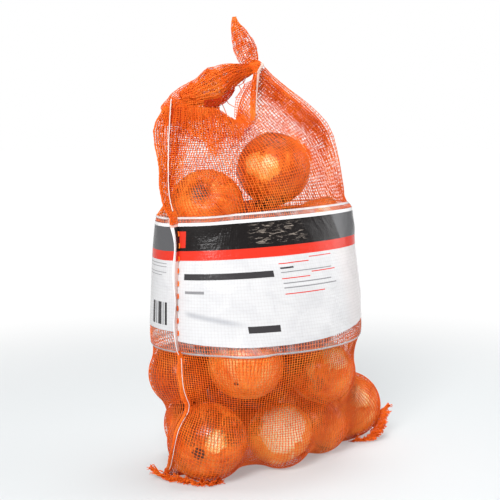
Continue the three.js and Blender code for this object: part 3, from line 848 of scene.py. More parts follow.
# Where each onion's neck points (x, y, z) and how warm and how flaked its skin is. The others are drawn.
AXES = {0: (0.62, 0.72, 0.30), 1: (-0.3, 0.4, 0.9), 2: (0.3, 0.6, 0.7), 3: (0.8, -0.2, 0.5),
        6: (-0.6, 0.3, 0.7), 7: (0.4, 0.5, 0.85), 8: (0.4, 0.4, 0.8), 19: (0.45, 0.75, -0.5),
        20: (-0.26, -0.42, -0.78), 21: (0.2, -0.2, 0.95)}
# The hidden onions 9, 12, 18 and 22 lie deep in the hollows and get the darkest tones, as painted shade.
TONES = {0: (0.0, 0.2), 1: (0.22, 0.6), 2: (0.02, 0.2), 3: (0.06, 0.3), 6: (-0.17, 0.0), 7: (0.08, 0.3),
         8: (0.08, 0.4), 9: (-0.30, 0.0), 12: (-0.26, 0.0), 18: (-0.26, 0.0), 19: (0.01, 0.1),
         20: (-0.09, 0.0), 21: (0.02, 0.2), 22: (-0.30, 0.0)}
# Marks that the camera sees, as [onion, kind, to the right, up, size], in shares of its radius.
# Dark streaks are partly the skin's own stripes and partly painted shade at edges that face a gap between
# onions.
PEELED, STREAKS_AND_SHADE, SPOT = 0, 1, 2
MARKS = [(0, SPOT, -0.22, -0.24, 0.22), (0, STREAKS_AND_SHADE, -0.30, 0.44, 0.55), (0, PEELED, 0.24, 0.12, 0.32),
         (0, STREAKS_AND_SHADE, 0.66, 0.36, 0.45), (0, STREAKS_AND_SHADE, -0.75, -0.50, 0.35), (0, STREAKS_AND_SHADE, 0.1, 0.7, 0.4),
         (1, PEELED, 0.10, 0.42, 0.80), (1, PEELED, 0.02, -0.05, 0.50), (1, STREAKS_AND_SHADE, -0.75, 0.3, 0.35),
         (7, SPOT, -0.25, -0.47, 0.09), (8, PEELED, 0.45, 0.52, 0.44), (8, PEELED, 0.15, 0.66, 0.22),
         (8, STREAKS_AND_SHADE, -0.7, 0.3, 0.5), (8, STREAKS_AND_SHADE, -0.3, -0.3, 0.4), (2, STREAKS_AND_SHADE, -0.2, 0.4, 0.6),
         (3, PEELED, 0.36, 0.32, 0.36), (3, STREAKS_AND_SHADE, -0.2, 0.55, 0.5),
         (19, SPOT, -0.18, 0.42, 0.28), (19, STREAKS_AND_SHADE, -0.18, 0.42, 0.44),
         (20, PEELED, -0.48, 0.08, 0.34), (20, PEELED, -0.22, 0.0, 0.38), (20, STREAKS_AND_SHADE, 0.1, 0.85, 0.6),
         (21, PEELED, 0.1, 0.5, 0.3), (6, STREAKS_AND_SHADE, 0.4, 0.4, 0.6)]


def mark_shares(number, directions):
    """How far inside each kind of mark every point of an onion lies, below nought outside."""
    shares = np.full((len(directions), 3), -1.0)
    for onion, kind, right, up, size in MARKS:
        if onion == number:
            towards = right * TO_RIGHT + up * TO_TOP + math.sqrt(1 - right ** 2 - up ** 2) * TO_CAMERA
            inside = 1 - np.linalg.norm(directions - towards, axis=1) / size
            shares[:, kind] = np.maximum(shares[:, kind], inside)
    return shares


def add_attribute(piece, name, values):
    layer = piece.data.attributes.new(name, "FLOAT_VECTOR", "POINT")
    layer.data.foreach_set("vector", np.asarray(values, np.float32).ravel())


def lay_onion(number, centre, radius, draw):
    master = masters[number % len(masters)]
    onion = bpy.data.objects.new(f"onion_{number + 1:02d}", master.data.copy())
    scene.collection.objects.link(onion)
    count = len(onion.data.vertices)
    own = np.empty(count * 3, np.float32)
    onion.data.vertices.foreach_get("co", own)
    add_attribute(onion, "skin_place", own)
    warm, flaky = TONES.get(number, (draw.uniform(-0.16, -0.04), draw.uniform(0.0, 0.5)))
    add_attribute(onion, "skin_tone", np.tile([warm, flaky, number * 1.7], (count, 1)))
    axis = Vector(AXES.get(number, draw.normal(0, 1, 3))).normalized()
    turn = axis.to_track_quat("Z", "Y").to_matrix().to_4x4() @ Matrix.Rotation(number * 1.1, 4, "Z")
    directions = unit(own.reshape(-1, 3) @ np.array(turn.to_3x3()).T)
    add_attribute(onion, "skin_marks", mark_shares(number, directions))
    spot = Matrix.Translation(Vector(placed(centre)))
    onion.data.transform(spot @ turn @ Matrix.Scale(radius * MM, 4))
    onion.data.materials.append(ONION_SKIN)
    onion.data.polygons.foreach_set("use_smooth", np.ones(len(onion.data.polygons), bool))
    return belongs(onion, "onion_skin", "net_bag")


# The small onion is coloured dark, as painted shade in the hollow.
SMALL_ONION = [-72, 12, 103, 27]             # it fills the dark hollow between the large ones


def lay_onions():
    draw = np.random.default_rng(4)
    places = [*onion_at, SMALL_ONION[:3]]
    radii = [*onion_radius, SMALL_ONION[3]]
    for number, (centre, radius) in enumerate(zip(places, radii)):
        lay_onion(number, centre, radius, draw)
    for master in masters:
        bpy.data.objects.remove(master)


lay_onions()
print("onions laid:", len(onion_at) + 1)

# %% [markdown]
# ## The film band
# The band is a clear film, printed on most of its height and left clear along both edges. Its own
# coordinates run in millimetres: along the band from the sewn seam, and up it.

# %% Film shape
FILM_LIFT = 0.9
FILM_GAUGE = 0.25


def outward(grid):
    """The direction out of the bag at each point of its surface."""
    round_way = np.roll(grid, -1, 1) - np.roll(grid, 1, 1)
    return unit(np.cross(round_way, np.gradient(grid, axis=0)))


def run_along(band):
    """Millimetres along the band from the seam, at each point of its middle ring."""
    middle = band[len(band) // 2]
    steps = np.linalg.norm(np.roll(middle, -1, 0) - middle, axis=1)
    return np.concatenate([[0], np.cumsum(steps)])


def film_body(band, out, material):
    """A thin closed ring from a band of points, with its print's coordinates in a UV map."""
    out = unit(out * (1, 1, 0))
    rows, columns = band.shape[:2]
    skins = [band + out * FILM_LIFT, band + out * (FILM_LIFT + FILM_GAUGE)]
    points = np.concatenate([part.reshape(-1, 3) for part in skins])
    row, column = np.meshgrid(np.arange(rows - 1), np.arange(columns), indexing="ij")
    after = (column + 1) % columns
    low, high = row * columns, (row + 1) * columns
    inside = np.stack([low + column, low + after, high + after, high + column], -1).reshape(-1, 4)
    outer, inner = inside + rows * columns, inside[:, ::-1]
    edge = np.arange(columns)
    next_edge = (edge + 1) % columns
    top, size = (rows - 1) * columns, rows * columns
    bottom_rim = np.stack([edge, next_edge, size + next_edge, size + edge], -1)
    top_rim = np.stack([top + size + edge, top + size + next_edge, top + next_edge, top + edge], -1)
    run = run_along(band)
    left, right = run[column], run[column + 1]
    low_v, high_v = row / (rows - 1), (row + 1) / (rows - 1)
    outer_uv = np.stack([left, low_v, right, low_v, right, high_v, left, high_v], -1).reshape(-1, 4, 2)
    rim_uv = np.stack([run[:-1], run[1:], run[1:], run[:-1]], -1)
    bottom_uv = np.stack([rim_uv, np.zeros_like(rim_uv)], -1)
    top_uv = np.stack([rim_uv, np.ones_like(rim_uv)], -1)
    faces = np.concatenate([outer, inner, bottom_rim, top_rim])
    uv = np.concatenate([outer_uv, outer_uv[:, ::-1], bottom_uv, top_uv])
    return mesh_piece("film_band", points, faces, material, uv, "print_mm")


# %% Film print
LABEL_END = 262.0                # mm from the seam to the fold at the label's right
REAR_LEFT_FROM = 690.0           # mm from the seam, round the rear, to the print left of the seam
BAND_HEIGHT = 180.0
WHITE_HEM = (0.932, 0.956)       # shares of the band's height
BLACK_FIELD = (0.752, 0.932)
RED_STRIPE = (0.682, 0.752)
WHITE_FROM, WHITE_FROM_MOST = 0.068, 0.16    # the white's lower edge in its middle, and at most
INK_BLACK, INK_DARK = (0.012, 0.010, 0.010), (0.045, 0.042, 0.045)
INK_RED, INK_GREY = (0.68, 0.035, 0.018), (0.26, 0.26, 0.27)
PALE_BLACK, GLINT = (0.10, 0.10, 0.105), (0.40, 0.34, 0.29)
# The white's second and third colours are painted shade, in its crinkles and along one crease.
PRINT_WHITE, PAINTED_CRINKLE_SHADE, CREASE_SHADE_GREY = (0.68, 0.68, 0.69), (0.58, 0.58, 0.60), (0.42, 0.43, 0.46)
TURNED_WHITE, WEAVE_TONE, HEM_WHITE = (0.82, 0.72, 0.70), (0.30, 0.22, 0.20), (0.80, 0.79, 0.79)
WEAVE_ACROSS, WEAVE_UP = 4.0, 4.2            # mm from one chain or thread behind the film to the next


def bar(u, v, from_u, to_u, from_v, to_v):
    """One where the print has a bar between two lengths and two heights, else nought."""
    return (u > from_u) * (u < to_u) * (v > from_v) * (v < to_v)


# Bars as [colour, from mm, to mm, from share, to share].
BARS = [
    (INK_RED, 1, 9, 0.775, 0.895),
    (INK_DARK, 9, 131, 0.543, 0.588), (INK_GREY, 11, 37, 0.444, 0.464),
    (INK_DARK, 87, 128, 0.165, 0.212),
    (INK_RED, 140, 190, 0.628, 0.635), (INK_RED, 192, 234, 0.655, 0.661),
    (INK_DARK, 141, 162, 0.594, 0.606), (INK_GREY, 141, 228, 0.566, 0.573),
    (INK_RED, 141, 186, 0.522, 0.529), (INK_RED, 190, 234, 0.550, 0.557),
    (INK_GREY, 142, 222, 0.488, 0.496), (INK_GREY, 142, 230, 0.456, 0.464),
    (INK_RED, 142, 205, 0.414, 0.421),
    (INK_GREY, 704, 750, 0.655, 0.660), (INK_GREY, 704, 750, 0.632, 0.637),
    (INK_GREY, 704, 750, 0.590, 0.595), (INK_GREY, 704, 742, 0.568, 0.573),
    (INK_DARK, 722, 728, 0.20, 0.37), (INK_GREY, 730, 733, 0.20, 0.37), (INK_DARK, 735, 742, 0.20, 0.37),
    (INK_GREY, 744, 746, 0.20, 0.37), (INK_DARK, 748, 752, 0.20, 0.37),
]
EDGE_LINE = 0.014                            # the clear film's cut edges catch the light


def film_material():
    shader = Shader("printed_film")
    uv = shader.node("ShaderNodeUVMap", {"uv_map": "print_mm"})
    u, v, _ = shader.parts(uv)
    metric = shader.vector(u * MM, v * (BAND_HEIGHT * MM), 0.0)
    crinkle = shader.noise(metric, 38, 4, 0.6, 0.6)
    streaky = shader.noise(shader.vector(u * 0.0011, v * 1.3, 0.0), 55, 4, 0.7, 0.4)
    bend = (u - 110) * (1 / 190)
    white_from = (bend * bend * 0.08 + WHITE_FROM).at_most(WHITE_FROM_MOST)
    right_side = u.ramp(LABEL_END, LABEL_END + 6) * (u < REAR_LEFT_FROM)
    rear_left = u > REAR_LEFT_FROM
    dark = shader.mix(right_side + rear_left, INK_BLACK, PALE_BLACK)
    glint_place = u.ramp(96, 116) * u.ramp(206, 188) * v.ramp(0.77, 0.79) * v.ramp(0.93, 0.90)
    dark = shader.mix(streaky.ramp(0.53, 0.62) * glint_place * 0.7, dark, GLINT)
    # Painted shade in the white's crinkles, and along one crease.
    white = shader.mix(crinkle.ramp(0.40, 0.70, 0.0, 0.5), PRINT_WHITE, PAINTED_CRINKLE_SHADE)
    crease_shade = abs(v + u * 0.0011 - 0.315).ramp(0.035, 0.0) * u.ramp(6, 20) * u.ramp(95, 60)
    white = shader.mix(crease_shade * 0.8, white, CREASE_SHADE_GREY)
    white = shader.mix(u.ramp(228, LABEL_END) * (u < REAR_LEFT_FROM) * 0.35, white, TURNED_WHITE)
    weave = (abs(u % WEAVE_ACROSS - WEAVE_ACROSS / 2) * 0.25).ramp(0.32, 0.5)
    weave_v = (abs((v * BAND_HEIGHT) % WEAVE_UP - WEAVE_UP / 2) * 0.24).ramp(0.32, 0.5)
    white = shader.mix((weave + weave_v) * 0.10, white, WEAVE_TONE)
    colour = shader.mix((v > RED_STRIPE[0]) * (v < RED_STRIPE[1]), white, INK_RED)
    colour = shader.mix((v > BLACK_FIELD[0]) * (v < BLACK_FIELD[1]), colour, dark)
    for ink, from_u, to_u, from_v, to_v in BARS:
        colour = shader.mix(bar(u, v, from_u, to_u, from_v, to_v), colour, ink)
    colour = shader.mix(v > WHITE_HEM[0], colour, HEM_WHITE)
    edge = (v < EDGE_LINE) + (v > 1 - EDGE_LINE)
    clear = shader.noise(metric, 60, 3).ramp(0.40, 0.72, 0.04, 0.18) + edge * 0.6
    printed = (v > white_from) * (v < WHITE_HEM[1])
    height = crinkle * 0.7 + streaky * 0.15 + (weave + weave_v) * 0.02
    shader.set(Base_Color=colour, Alpha=printed * (0.97 - clear) + clear, Roughness=0.24,
               Specular_IOR_Level=0.25, Normal=shader.bump(height, 0.5, 0.004))
    shader.material.surface_render_method = "DITHERED"
    return shader.material


skin_out = outward(skin)
film = belongs(film_body(skin[film_rows], skin_out[film_rows], film_material()), "film", "film_band")
print("film band:", len(film.data.polygons), "faces")

# %% [markdown]
# ## The sewn seam
# The net's two layers meet in a fin of doubled net at the bag's left. It is wide at the shoulder and
# narrow at the foot, and a white thread runs along it above and below the film. Where it crosses the
# film band it is the film itself, folded over the net and stitched through.

# %% Seam fin
FIN_FOOT_ROW, FIN_SHOULDER_ROW, FIN_TOP_ROW = 3, 122, 175    # rows of the net's fine grid
# The fin's width at the rows of the coarse grid.
FIN_WIDTHS = [[0, 5], [6, 7], [20, 9], [31, 13.5], [33, 17], [36, 16], [38, 18], [41, 22.5], [42, 19],
              [43, 11.5], [44, 4]]


def fin_sheet(low_row, high_row, columns, side, waves=0.0, lift=0.4):
    """A sheet of points that stands out from the seam between two rows of the net's surface."""
    rows = np.arange(low_row, high_row + 1)
    base = skin[rows, 0]
    out = unit(skin_out[rows, 0] * (1, 1, 0))
    ahead = unit(np.gradient(base, axis=0))
    across = unit(np.cross(out, ahead))
    width = np.array([table_at(FIN_WIDTHS, row / FINER)[0] for row in rows])
    share = np.linspace(0, 1, columns)
    sway = np.sin(rows * 0.37) * 0.6 + np.sin(rows * 0.11 + 1) * 0.9
    sheet = base[:, None] + out[:, None] * (lift + share[:, None] * width[:, None, None])
    bend = side + (waves * sway[:, None]) * share ** 2
    return sheet + across[:, None] * bend[..., None]


def sew_fin():
    """Three layers of knitting for the fin above and below the film, closed at its outer edge."""
    pieces = []
    for name, low, high, loops in (("lower", FIN_FOOT_ROW, LOWER_ROWS * FINER + 1, 84),
                                   ("upper", FIN_SHOULDER_ROW, FIN_TOP_ROW, 70)):
        for layer, (side, chains) in enumerate(((-1.0, 6), (0.0, 5), (1.0, 6))):
            sheet = fin_sheet(low, high, 5, side, 1.6)
            piece = knit(f"seam_{name}_{layer + 1}", sheet, chains, loops, NET_YARN, chain_radius=0.8,
                         thread_radius=0.42, wander=0.5, close_side=True)
            pieces.append(belongs(piece, "net", "side_seam"))
    return pieces


print("seam:", [piece.name for piece in sew_fin()])

# %% Seam on the film
FIN_PINK, FIN_WHITE, FIN_HEM = (0.78, 0.52, 0.47), (0.86, 0.84, 0.84), (0.86, 0.50, 0.42)
FIN_WHITE_FROM = 0.66                        # share of the fin's width where its outer, white part starts


def seam_film_material():
    shader = Shader("seam_film")
    u, v, _ = shader.parts(shader.node("ShaderNodeUVMap", {"uv_map": "print_mm"}))
    colour = shader.mix((v > BLACK_FIELD[0]) * (v < BLACK_FIELD[1]), FIN_PINK, INK_BLACK)
    colour = shader.mix((v > RED_STRIPE[0]) * (v < RED_STRIPE[1]), colour, INK_RED)
    colour = shader.mix(u > FIN_WHITE_FROM, colour, FIN_WHITE)
    colour = shader.mix(v > WHITE_HEM[0], colour, FIN_HEM)
    crinkle = shader.noise(shader.vector(u * 8, v * 60, 0.0), 1.2, 3)
    shader.set(Base_Color=colour, Roughness=0.25, Specular_IOR_Level=0.5,
               Normal=shader.bump(crinkle, 0.5, 0.002))
    return shader.material


def sheet_body(name, sheet, gauge, material):
    """A thin closed body round a sheet of points, with its shares across and up in a UV map."""
    rows, columns = sheet.shape[:2]
    side = unit(np.cross(np.gradient(sheet, axis=1), np.gradient(sheet, axis=0)))
    lap = np.concatenate([sheet + side * gauge / 2, (sheet - side * gauge / 2)[:, ::-1]], axis=1)
    around = 2 * columns
    row, column = np.meshgrid(np.arange(rows - 1), np.arange(around), indexing="ij")
    after = (column + 1) % around
    corners = [(column, row), (after, row), (after, row + 1), (column, row + 1)]
    quads = np.stack([high * around + place for place, high in corners], -1).reshape(-1, 4)
    across = np.concatenate([np.linspace(0, 1, columns), np.linspace(1, 0, columns)])
    up = np.linspace(0, 1, rows)
    uv = np.stack([np.stack([across[place], up[high]], -1) for place, high in corners], -2)
    ends = []
    for end in (0, rows - 1):
        first, last = end * around, (end + 1) * around - 1
        for step in range(columns - 1):
            ring = [first + step, first + step + 1, last - 1 - step, last - step]
            ends.append(ring[::-1] if end == 0 else ring)
    faces = np.concatenate([quads, ends])
    all_uv = np.concatenate([uv.reshape(-1, 4, 2), np.zeros((len(ends), 4, 2))])
    return mesh_piece(name, lap.reshape(-1, 3), faces, material, all_uv, "print_mm")


film_fin = fin_sheet(LOWER_ROWS * FINER, (LOWER_ROWS + FILM_ROWS) * FINER, 7, 0.0, 3.2, lift=1.0)
belongs(sheet_body("seam_film", film_fin, 0.8, seam_film_material()), "film", "side_seam")


# %% Threads and stitches
def tubes(name, paths, radius, material, sides=5):
    """Round threads along paths that all have the same number of places."""
    paths = np.asarray(paths, float)
    along = unit(np.gradient(paths, axis=1))
    spare = np.where(np.abs(along[..., 2:]) > 0.8, [1.0, 0, 0], [0, 0, 1.0])
    out = unit(np.cross(along, spare))
    size = np.broadcast_to(np.asarray(radius, float), paths.shape[:2])
    points = strands(paths, along, out, size, sides)
    faces, _, _, _ = tube_faces(paths.shape[1], sides, len(paths))
    return mesh_piece(name, points.reshape(-1, 3), faces, material)


SEWING_THREAD = [[-166, -11, 507], [-168.5, -12, 487], [-171, -12.5, 452], [-172.5, -13, 415],
                 [-171.5, -13, 385], [-167, -14, 362]]


def stitches():
    """Short stitches through the film's fin, close to its root, on its front side."""
    root = film_fin[6:-4:4, 1]
    ahead = unit(film_fin[10::4, 1] - root)
    side = np.array([0.55, -0.83, 0])
    start = root + side * 1.2 + rng.normal(0, 0.3, root.shape)
    return np.stack([start, start + ahead * 3 + side * 0.5, start + ahead * 6.5], axis=1)


thread = smooth_curve(SEWING_THREAD, 40) + rng.normal(0, 0.15, (41, 3))
belongs(tubes("sewing_thread", [thread], 0.8, WHITE_YARN), "string", "side_seam")
low_fin = fin_sheet(8, LOWER_ROWS * FINER - 2, 5, 0.0, 1.6)[::2]
belongs(tubes("seam_thread", [low_fin[:, 1] + TO_CAMERA * 3.0], 0.55, WHITE_YARN), "string", "side_seam")
belongs(tubes("film_stitches", stitches(), 1.0, NET_YARN), "net", "side_seam")

# %% [markdown]
# ## The tied top
# The bag's left upper corner is rolled up and tied to the right one, which leaves a gap for the
# fingers. The roll, the tip above the knot and the fold under it are gathered net: several layers
# of knitting over each other, each pleated a little differently.

# %% Gathered net
# Routes as [x, y, z, half width seen from the front, half depth].
ROLL_ROUTE = [[-148, -5, 507, 8, 6], [-143, -6, 508.5, 14, 9], [-136, -6.5, 509.5, 17, 11],
              [-126, -7, 512.5, 20.5, 13], [-112, -7, 517, 25, 14.5], [-100, -6, 521, 26, 14.5],
              [-91, -6, 525.5, 23, 13.5], [-83, -6, 530.5, 19.5, 12], [-74, -6, 535, 15.5, 10],
              [-63, -6, 538.5, 12, 9], [-51, -5, 541, 9.5, 8], [-40, -5, 545, 7, 7]]
EAR_ROUTE = [[-39, -5, 547, 9, 6], [-43, -5, 554, 13, 6.5], [-48.3, -5, 562, 16.3, 7],
             [-51, -5, 567.5, 17, 8], [-54.5, -5, 575, 16.8, 7], [-58.5, -6, 582.5, 15, 6],
             [-62.3, -6, 590.5, 12.5, 5.5], [-66, -5, 598.5, 9, 4.5], [-67.8, -5, 605, 5.5, 3.5],
             [-68.5, -5, 610.5, 2.5, 2]]
FOLD_ROUTE = [[-40, -14, 544, 5, 4], [-42, -17, 535, 4.5, 3.5], [-44, -18.5, 524, 5.5, 4.5],
              [-47, -20, 510, 5.5, 4.5], [-49, -21.5, 497, 5, 4], [-51, -23.8, 485, 4, 3.5],
              [-52, -25, 476, 2, 2]]


def rolled(route, size, pleats, depth, phase, steps=60, around=48):
    """A pleated tube of net round a route, at a share of its full size."""
    route = np.asarray(route, float)
    middle = smooth_curve(route[:, :3], steps)
    share = np.linspace(0, 1, steps + 1)
    given = np.linspace(0, 1, len(route))
    wide = np.interp(share, given, route[:, 3]) * size
    deep = np.interp(share, given, route[:, 4]) * size
    ahead = unit(np.gradient(middle, axis=0))
    deep_way = unit(np.array([0, 1.0, 0]) - ahead * ahead[:, 1:2])
    wide_way = np.cross(ahead, deep_way)
    turn = np.arange(around) * 2 * np.pi / around
    pleat = 1 + depth * np.sin(pleats * turn[None] + phase + 2.2 * np.sin(5 * share[:, None] + phase)) - depth
    ring = (wide_way[:, None] * (np.cos(turn) * wide[:, None])[..., None]
            + deep_way[:, None] * (np.sin(turn) * deep[:, None])[..., None])
    return middle[:, None] + ring * pleat[..., None]


def worn(across, up, luck):
    """Leaves out a stitch here and there, in loose groups, as in net that is pulled together."""
    pattern = np.sin(37 * up + 40 * luck) + np.sin(61 * across + 23 * up)
    return pattern < 1.25


def sparse(_, up, luck):
    """Leaves out about every third stitch, in short runs along the chains."""
    return np.sin(53 * up + 40 * luck) < 0.45


def gather(name, solid, route, layers, loops):
    """Layers of knitting inside each other, from [size, pleats, depth, chains] for each."""
    for number, (size, pleats, depth, chains) in enumerate(layers):
        sheet = rolled(route, size, pleats, depth, number * 1.7)
        piece = knit(f"{name}_{number + 1}", sheet, chains, loops, NET_YARN, wrap=True, chain_radius=0.62,
                     thread_radius=0.5, wander=0.6, present=worn)
        belongs(piece, "net", solid)


gather("roll", "handle_roll", ROLL_ROUTE, [(1.0, 7, 0.07, 26), (0.88, 6, 0.12, 28), (0.7, 5, 0.15, 30)], 50)
# Darker yarn on the roll's front underside, as painted shade.
underside = rolled(ROLL_ROUTE, 1.0, 7, 0.07, 0.0)
shade = knit("roll_shade", underside, 12, 22, PAINTED_SHADE_YARN, (0.49, 0.66), (0.22, 0.62), wrap=True,
             chain_radius=0.7, thread_radius=0.45, wander=0.7, lift=-1.4, present=sparse)
belongs(shade, "net", "handle_roll")


# %% Shoulder under the roll
# The shoulder's net rises behind the roll's left end and closes with the roll's underside.
PEAK_TOP = [[-176, -1, 496], [-168, -1, 504], [-161.7, 0, 510.3], [-149.4, 0, 519], [-138, 0, 524.5],
            [-128, 0, 529]]
PEAK_FOOT = [[-172, -6, 470], [-166, -7, 474], [-157, -8, 478], [-146, -8, 480], [-136, -8, 481],
             [-126, -8, 482]]
APRON_TOP = [[-160, -8, 505], [-143, -9, 503], [-126, -10, 501], [-112, -10, 501], [-102, -10, 503],
             [-96, -9, 505]]
APRON_FOOT = [[-163, -9, 478], [-144, -11, 478], [-126, -12, 478], [-112, -12, 478], [-100, -11, 479],
              [-92, -9, 480]]
APRON_REAR = [[-160, 4, 507], [-143, 6, 507], [-126, 7, 508], [-112, 7, 510], [-102, 7, 511], [-97, 6, 509]]
REAR_FOOT = [[-163, 2, 478], [-144, 3, 478], [-126, 3, 478], [-112, 3, 478], [-100, 2, 479], [-92, 1, 480]]


def between_lines(foot, top, pleats, depth, phase, rows=16, columns=40):
    """A pleated sheet between two lines, which runs from the left and out towards the viewer."""
    low, high = smooth_curve(foot, columns), smooth_curve(top, columns)
    up = np.linspace(0, 1, rows)[:, None, None]
    sheet = low * (1 - up) + high * up
    wave = np.sin(2 * np.pi * pleats * np.linspace(0, 1, columns + 1)[None] + phase + 1.2 * up[..., 0])
    sheet[..., 1] -= depth * wave
    return sheet


for name, foot, top, pleats, chains, loops, phase in (
        ("shoulder_peak", PEAK_FOOT, PEAK_TOP, 4, 22, 17, 0.0),
        ("shoulder_peak_inner", PEAK_FOOT, PEAK_TOP, 3, 18, 15, 2.0),
        ("roll_apron", APRON_FOOT, APRON_TOP, 6, 28, 12, 0.5),
        ("roll_apron_inner", APRON_FOOT, APRON_TOP, 5, 25, 11, 2.5),
        ("roll_apron_rear", REAR_FOOT, APRON_REAR, 6, 30, 12, 1.0)):
    sheet = between_lines(foot, top, pleats, 0.9, phase)
    belongs(knit(name, sheet, chains, loops, NET_YARN, chain_radius=0.6, thread_radius=0.5, wander=0.7,
                 close_side=True), "net", "net_bag")

gather("ear", "handle_ear", EAR_ROUTE, [(1.0, 5, 0.06, 18), (0.72, 4, 0.15, 10)], 26)
gather("neck", "neck_fold", FOLD_ROUTE, [(1.0, 4, 0.15, 12), (0.7, 3, 0.1, 10)], 22)

# %% Knot and string
KNOT = [-38, -6, 546.3]
KNOT_HALF = [11.5, 10, 9]
KNOT_RINGS, KNOT_AROUND = 25, 32
KNOT_END = 0.08                              # radians that its first and last ring lie from its ends


def knot_ball(size):
    """Rings of points round the knot, from one side of it to the other."""
    rise = np.linspace(KNOT_END, np.pi - KNOT_END, KNOT_RINGS)[:, None]
    turn = (np.arange(KNOT_AROUND) * 2 * np.pi / KNOT_AROUND)[None]
    ball = np.stack([np.cos(rise) + 0 * turn, np.sin(rise) * np.cos(turn), np.sin(rise) * np.sin(turn)], -1)
    dent = 1 - 0.16 * np.abs(np.sin(1.5 * rise + turn))[..., None]
    return np.array(KNOT) + ball * dent * KNOT_HALF * size


for number, (size, chains) in enumerate(((1.0, 30), (0.8, 24), (0.6, 16))):
    ball = knit(f"knot_{number + 1}", knot_ball(size), chains, 14, NET_YARN, wrap=True, chain_radius=0.85,
                thread_radius=0.5, wander=0.3)
    belongs(ball, "net", "handle_knot")

STRING_ROUTE = [[-31, -14, 550], [-34.5, -20, 548], [-39, -23, 544.5], [-43, -24.5, 539],
                [-44.5, -25.5, 531], [-46, -26, 520], [-47.5, -27, 508], [-48.5, -27.6, 497],
                [-49, -28.6, 487]]
STRING_STEPS = 60
STRING_TWIST = 40.0                          # radians that its three strands wind round each other
STRING_GIRTH = [[0, 1.15], [0.35, 1.0], [0.6, 0.5], [1, 0.3]]


def wound_strands():
    """Three strands that wind round the string's route, and the girth along it."""
    middle = smooth_curve(STRING_ROUTE, STRING_STEPS)
    turns = np.linspace(0, STRING_TWIST, STRING_STEPS + 1)
    girth = table_at(STRING_GIRTH, np.linspace(0, 1, STRING_STEPS + 1))[0]
    paths = []
    for start in (0, 2.1, 4.2):
        circle = np.stack([np.cos(turns + start), np.sin(turns + start), 0 * turns], -1)
        paths.append(middle + girth[:, None] * circle)
    return paths, girth


string_paths, string_girth = wound_strands()
belongs(tubes("tie_string", string_paths, string_girth, SOFT_YARN), "string", "tie_string")

# %% [markdown]
# ## Gathered places
# Near the handle the net lies in folds: at the left shoulder, in a swath that runs down under the
# roll, and along the right slope up to the knot. Each of these is one to three more layers of knitting
# on the net's own surface. They lie in pleats, and their chains end one by one, so no hard edge shows.

# %% Gathers on the net
GATHER_CORD, GATHER_THREAD = 0.55, 0.45
GATHER_ROWS, GATHER_COLUMNS = 48, 40


def along_edge(edge, share):
    """Places (u, v) along an edge that is given by a few points."""
    edge = np.asarray(edge, float)
    given = np.linspace(0, 1, len(edge))
    return np.stack([np.interp(share, given, edge[:, axis]) for axis in range(2)], -1)


def on_skin(name, low_edge, high_edge, pleats, depth, chains, loops, material=NET_YARN, lift=1.0,
            phase=0.0, fray=0.25):
    """Pleated knitting on a part of the net between two edges, each a list of (u, v)."""
    across = np.linspace(0, 1, GATHER_COLUMNS)
    up = np.linspace(0, 1, GATHER_ROWS)[:, None]
    uv = (along_edge(low_edge, across)[None] * (1 - up[..., None])
          + along_edge(high_edge, across)[None] * up[..., None])
    at = sheet_at(skin, uv[..., 1], uv[..., 0] % 1.0, True)
    out = unit(sheet_at(skin_out, uv[..., 1], uv[..., 0] % 1.0, True))
    wave = np.sin(2 * np.pi * pleats * across[None] + phase + 1.6 * np.sin(3.1 * up + phase))
    rest = smoothstep(up, 0, 0.3) * np.minimum(1, 6 * across[None] * (1 - across[None]))
    sheet = at + out * (lift * (0.3 + 0.7 * rest) + depth * rest * (1 + wave))[..., None]

    def present(side, height, luck):
        ragged_end = fray * (0.45 + 0.3 * np.sin(9 * side + phase) + 0.25 * np.sin(23 * side) + 0.3 * luck)
        edge = np.minimum(side, 1 - side) * 6
        return (height > ragged_end) & (edge + height > luck * 0.9)

    piece = knit(name, sheet, chains, loops, material, chain_radius=GATHER_CORD,
                 thread_radius=GATHER_THREAD, wander=0.6, present=present)
    return belongs(piece, "net", "net_bag")


SWATH_LOW = [(0.0, 0.93), (0.045, 0.915), (0.086, 0.876), (0.121, 0.85), (0.18, 0.862), (0.25, 0.90),
             (0.31, 0.94)]
SWATH_HIGH = [(0.0, 0.998), (0.31, 0.998)]
UNDER_HIGH = [(0.03, 0.998), (0.33, 0.998)]
# UNDER lays the darker yarn close to the net, as painted shade in the folds.
UNDER = {"material": PAINTED_SHADE_YARN, "lift": 0.5}    # a shaded layer that lies close to the net
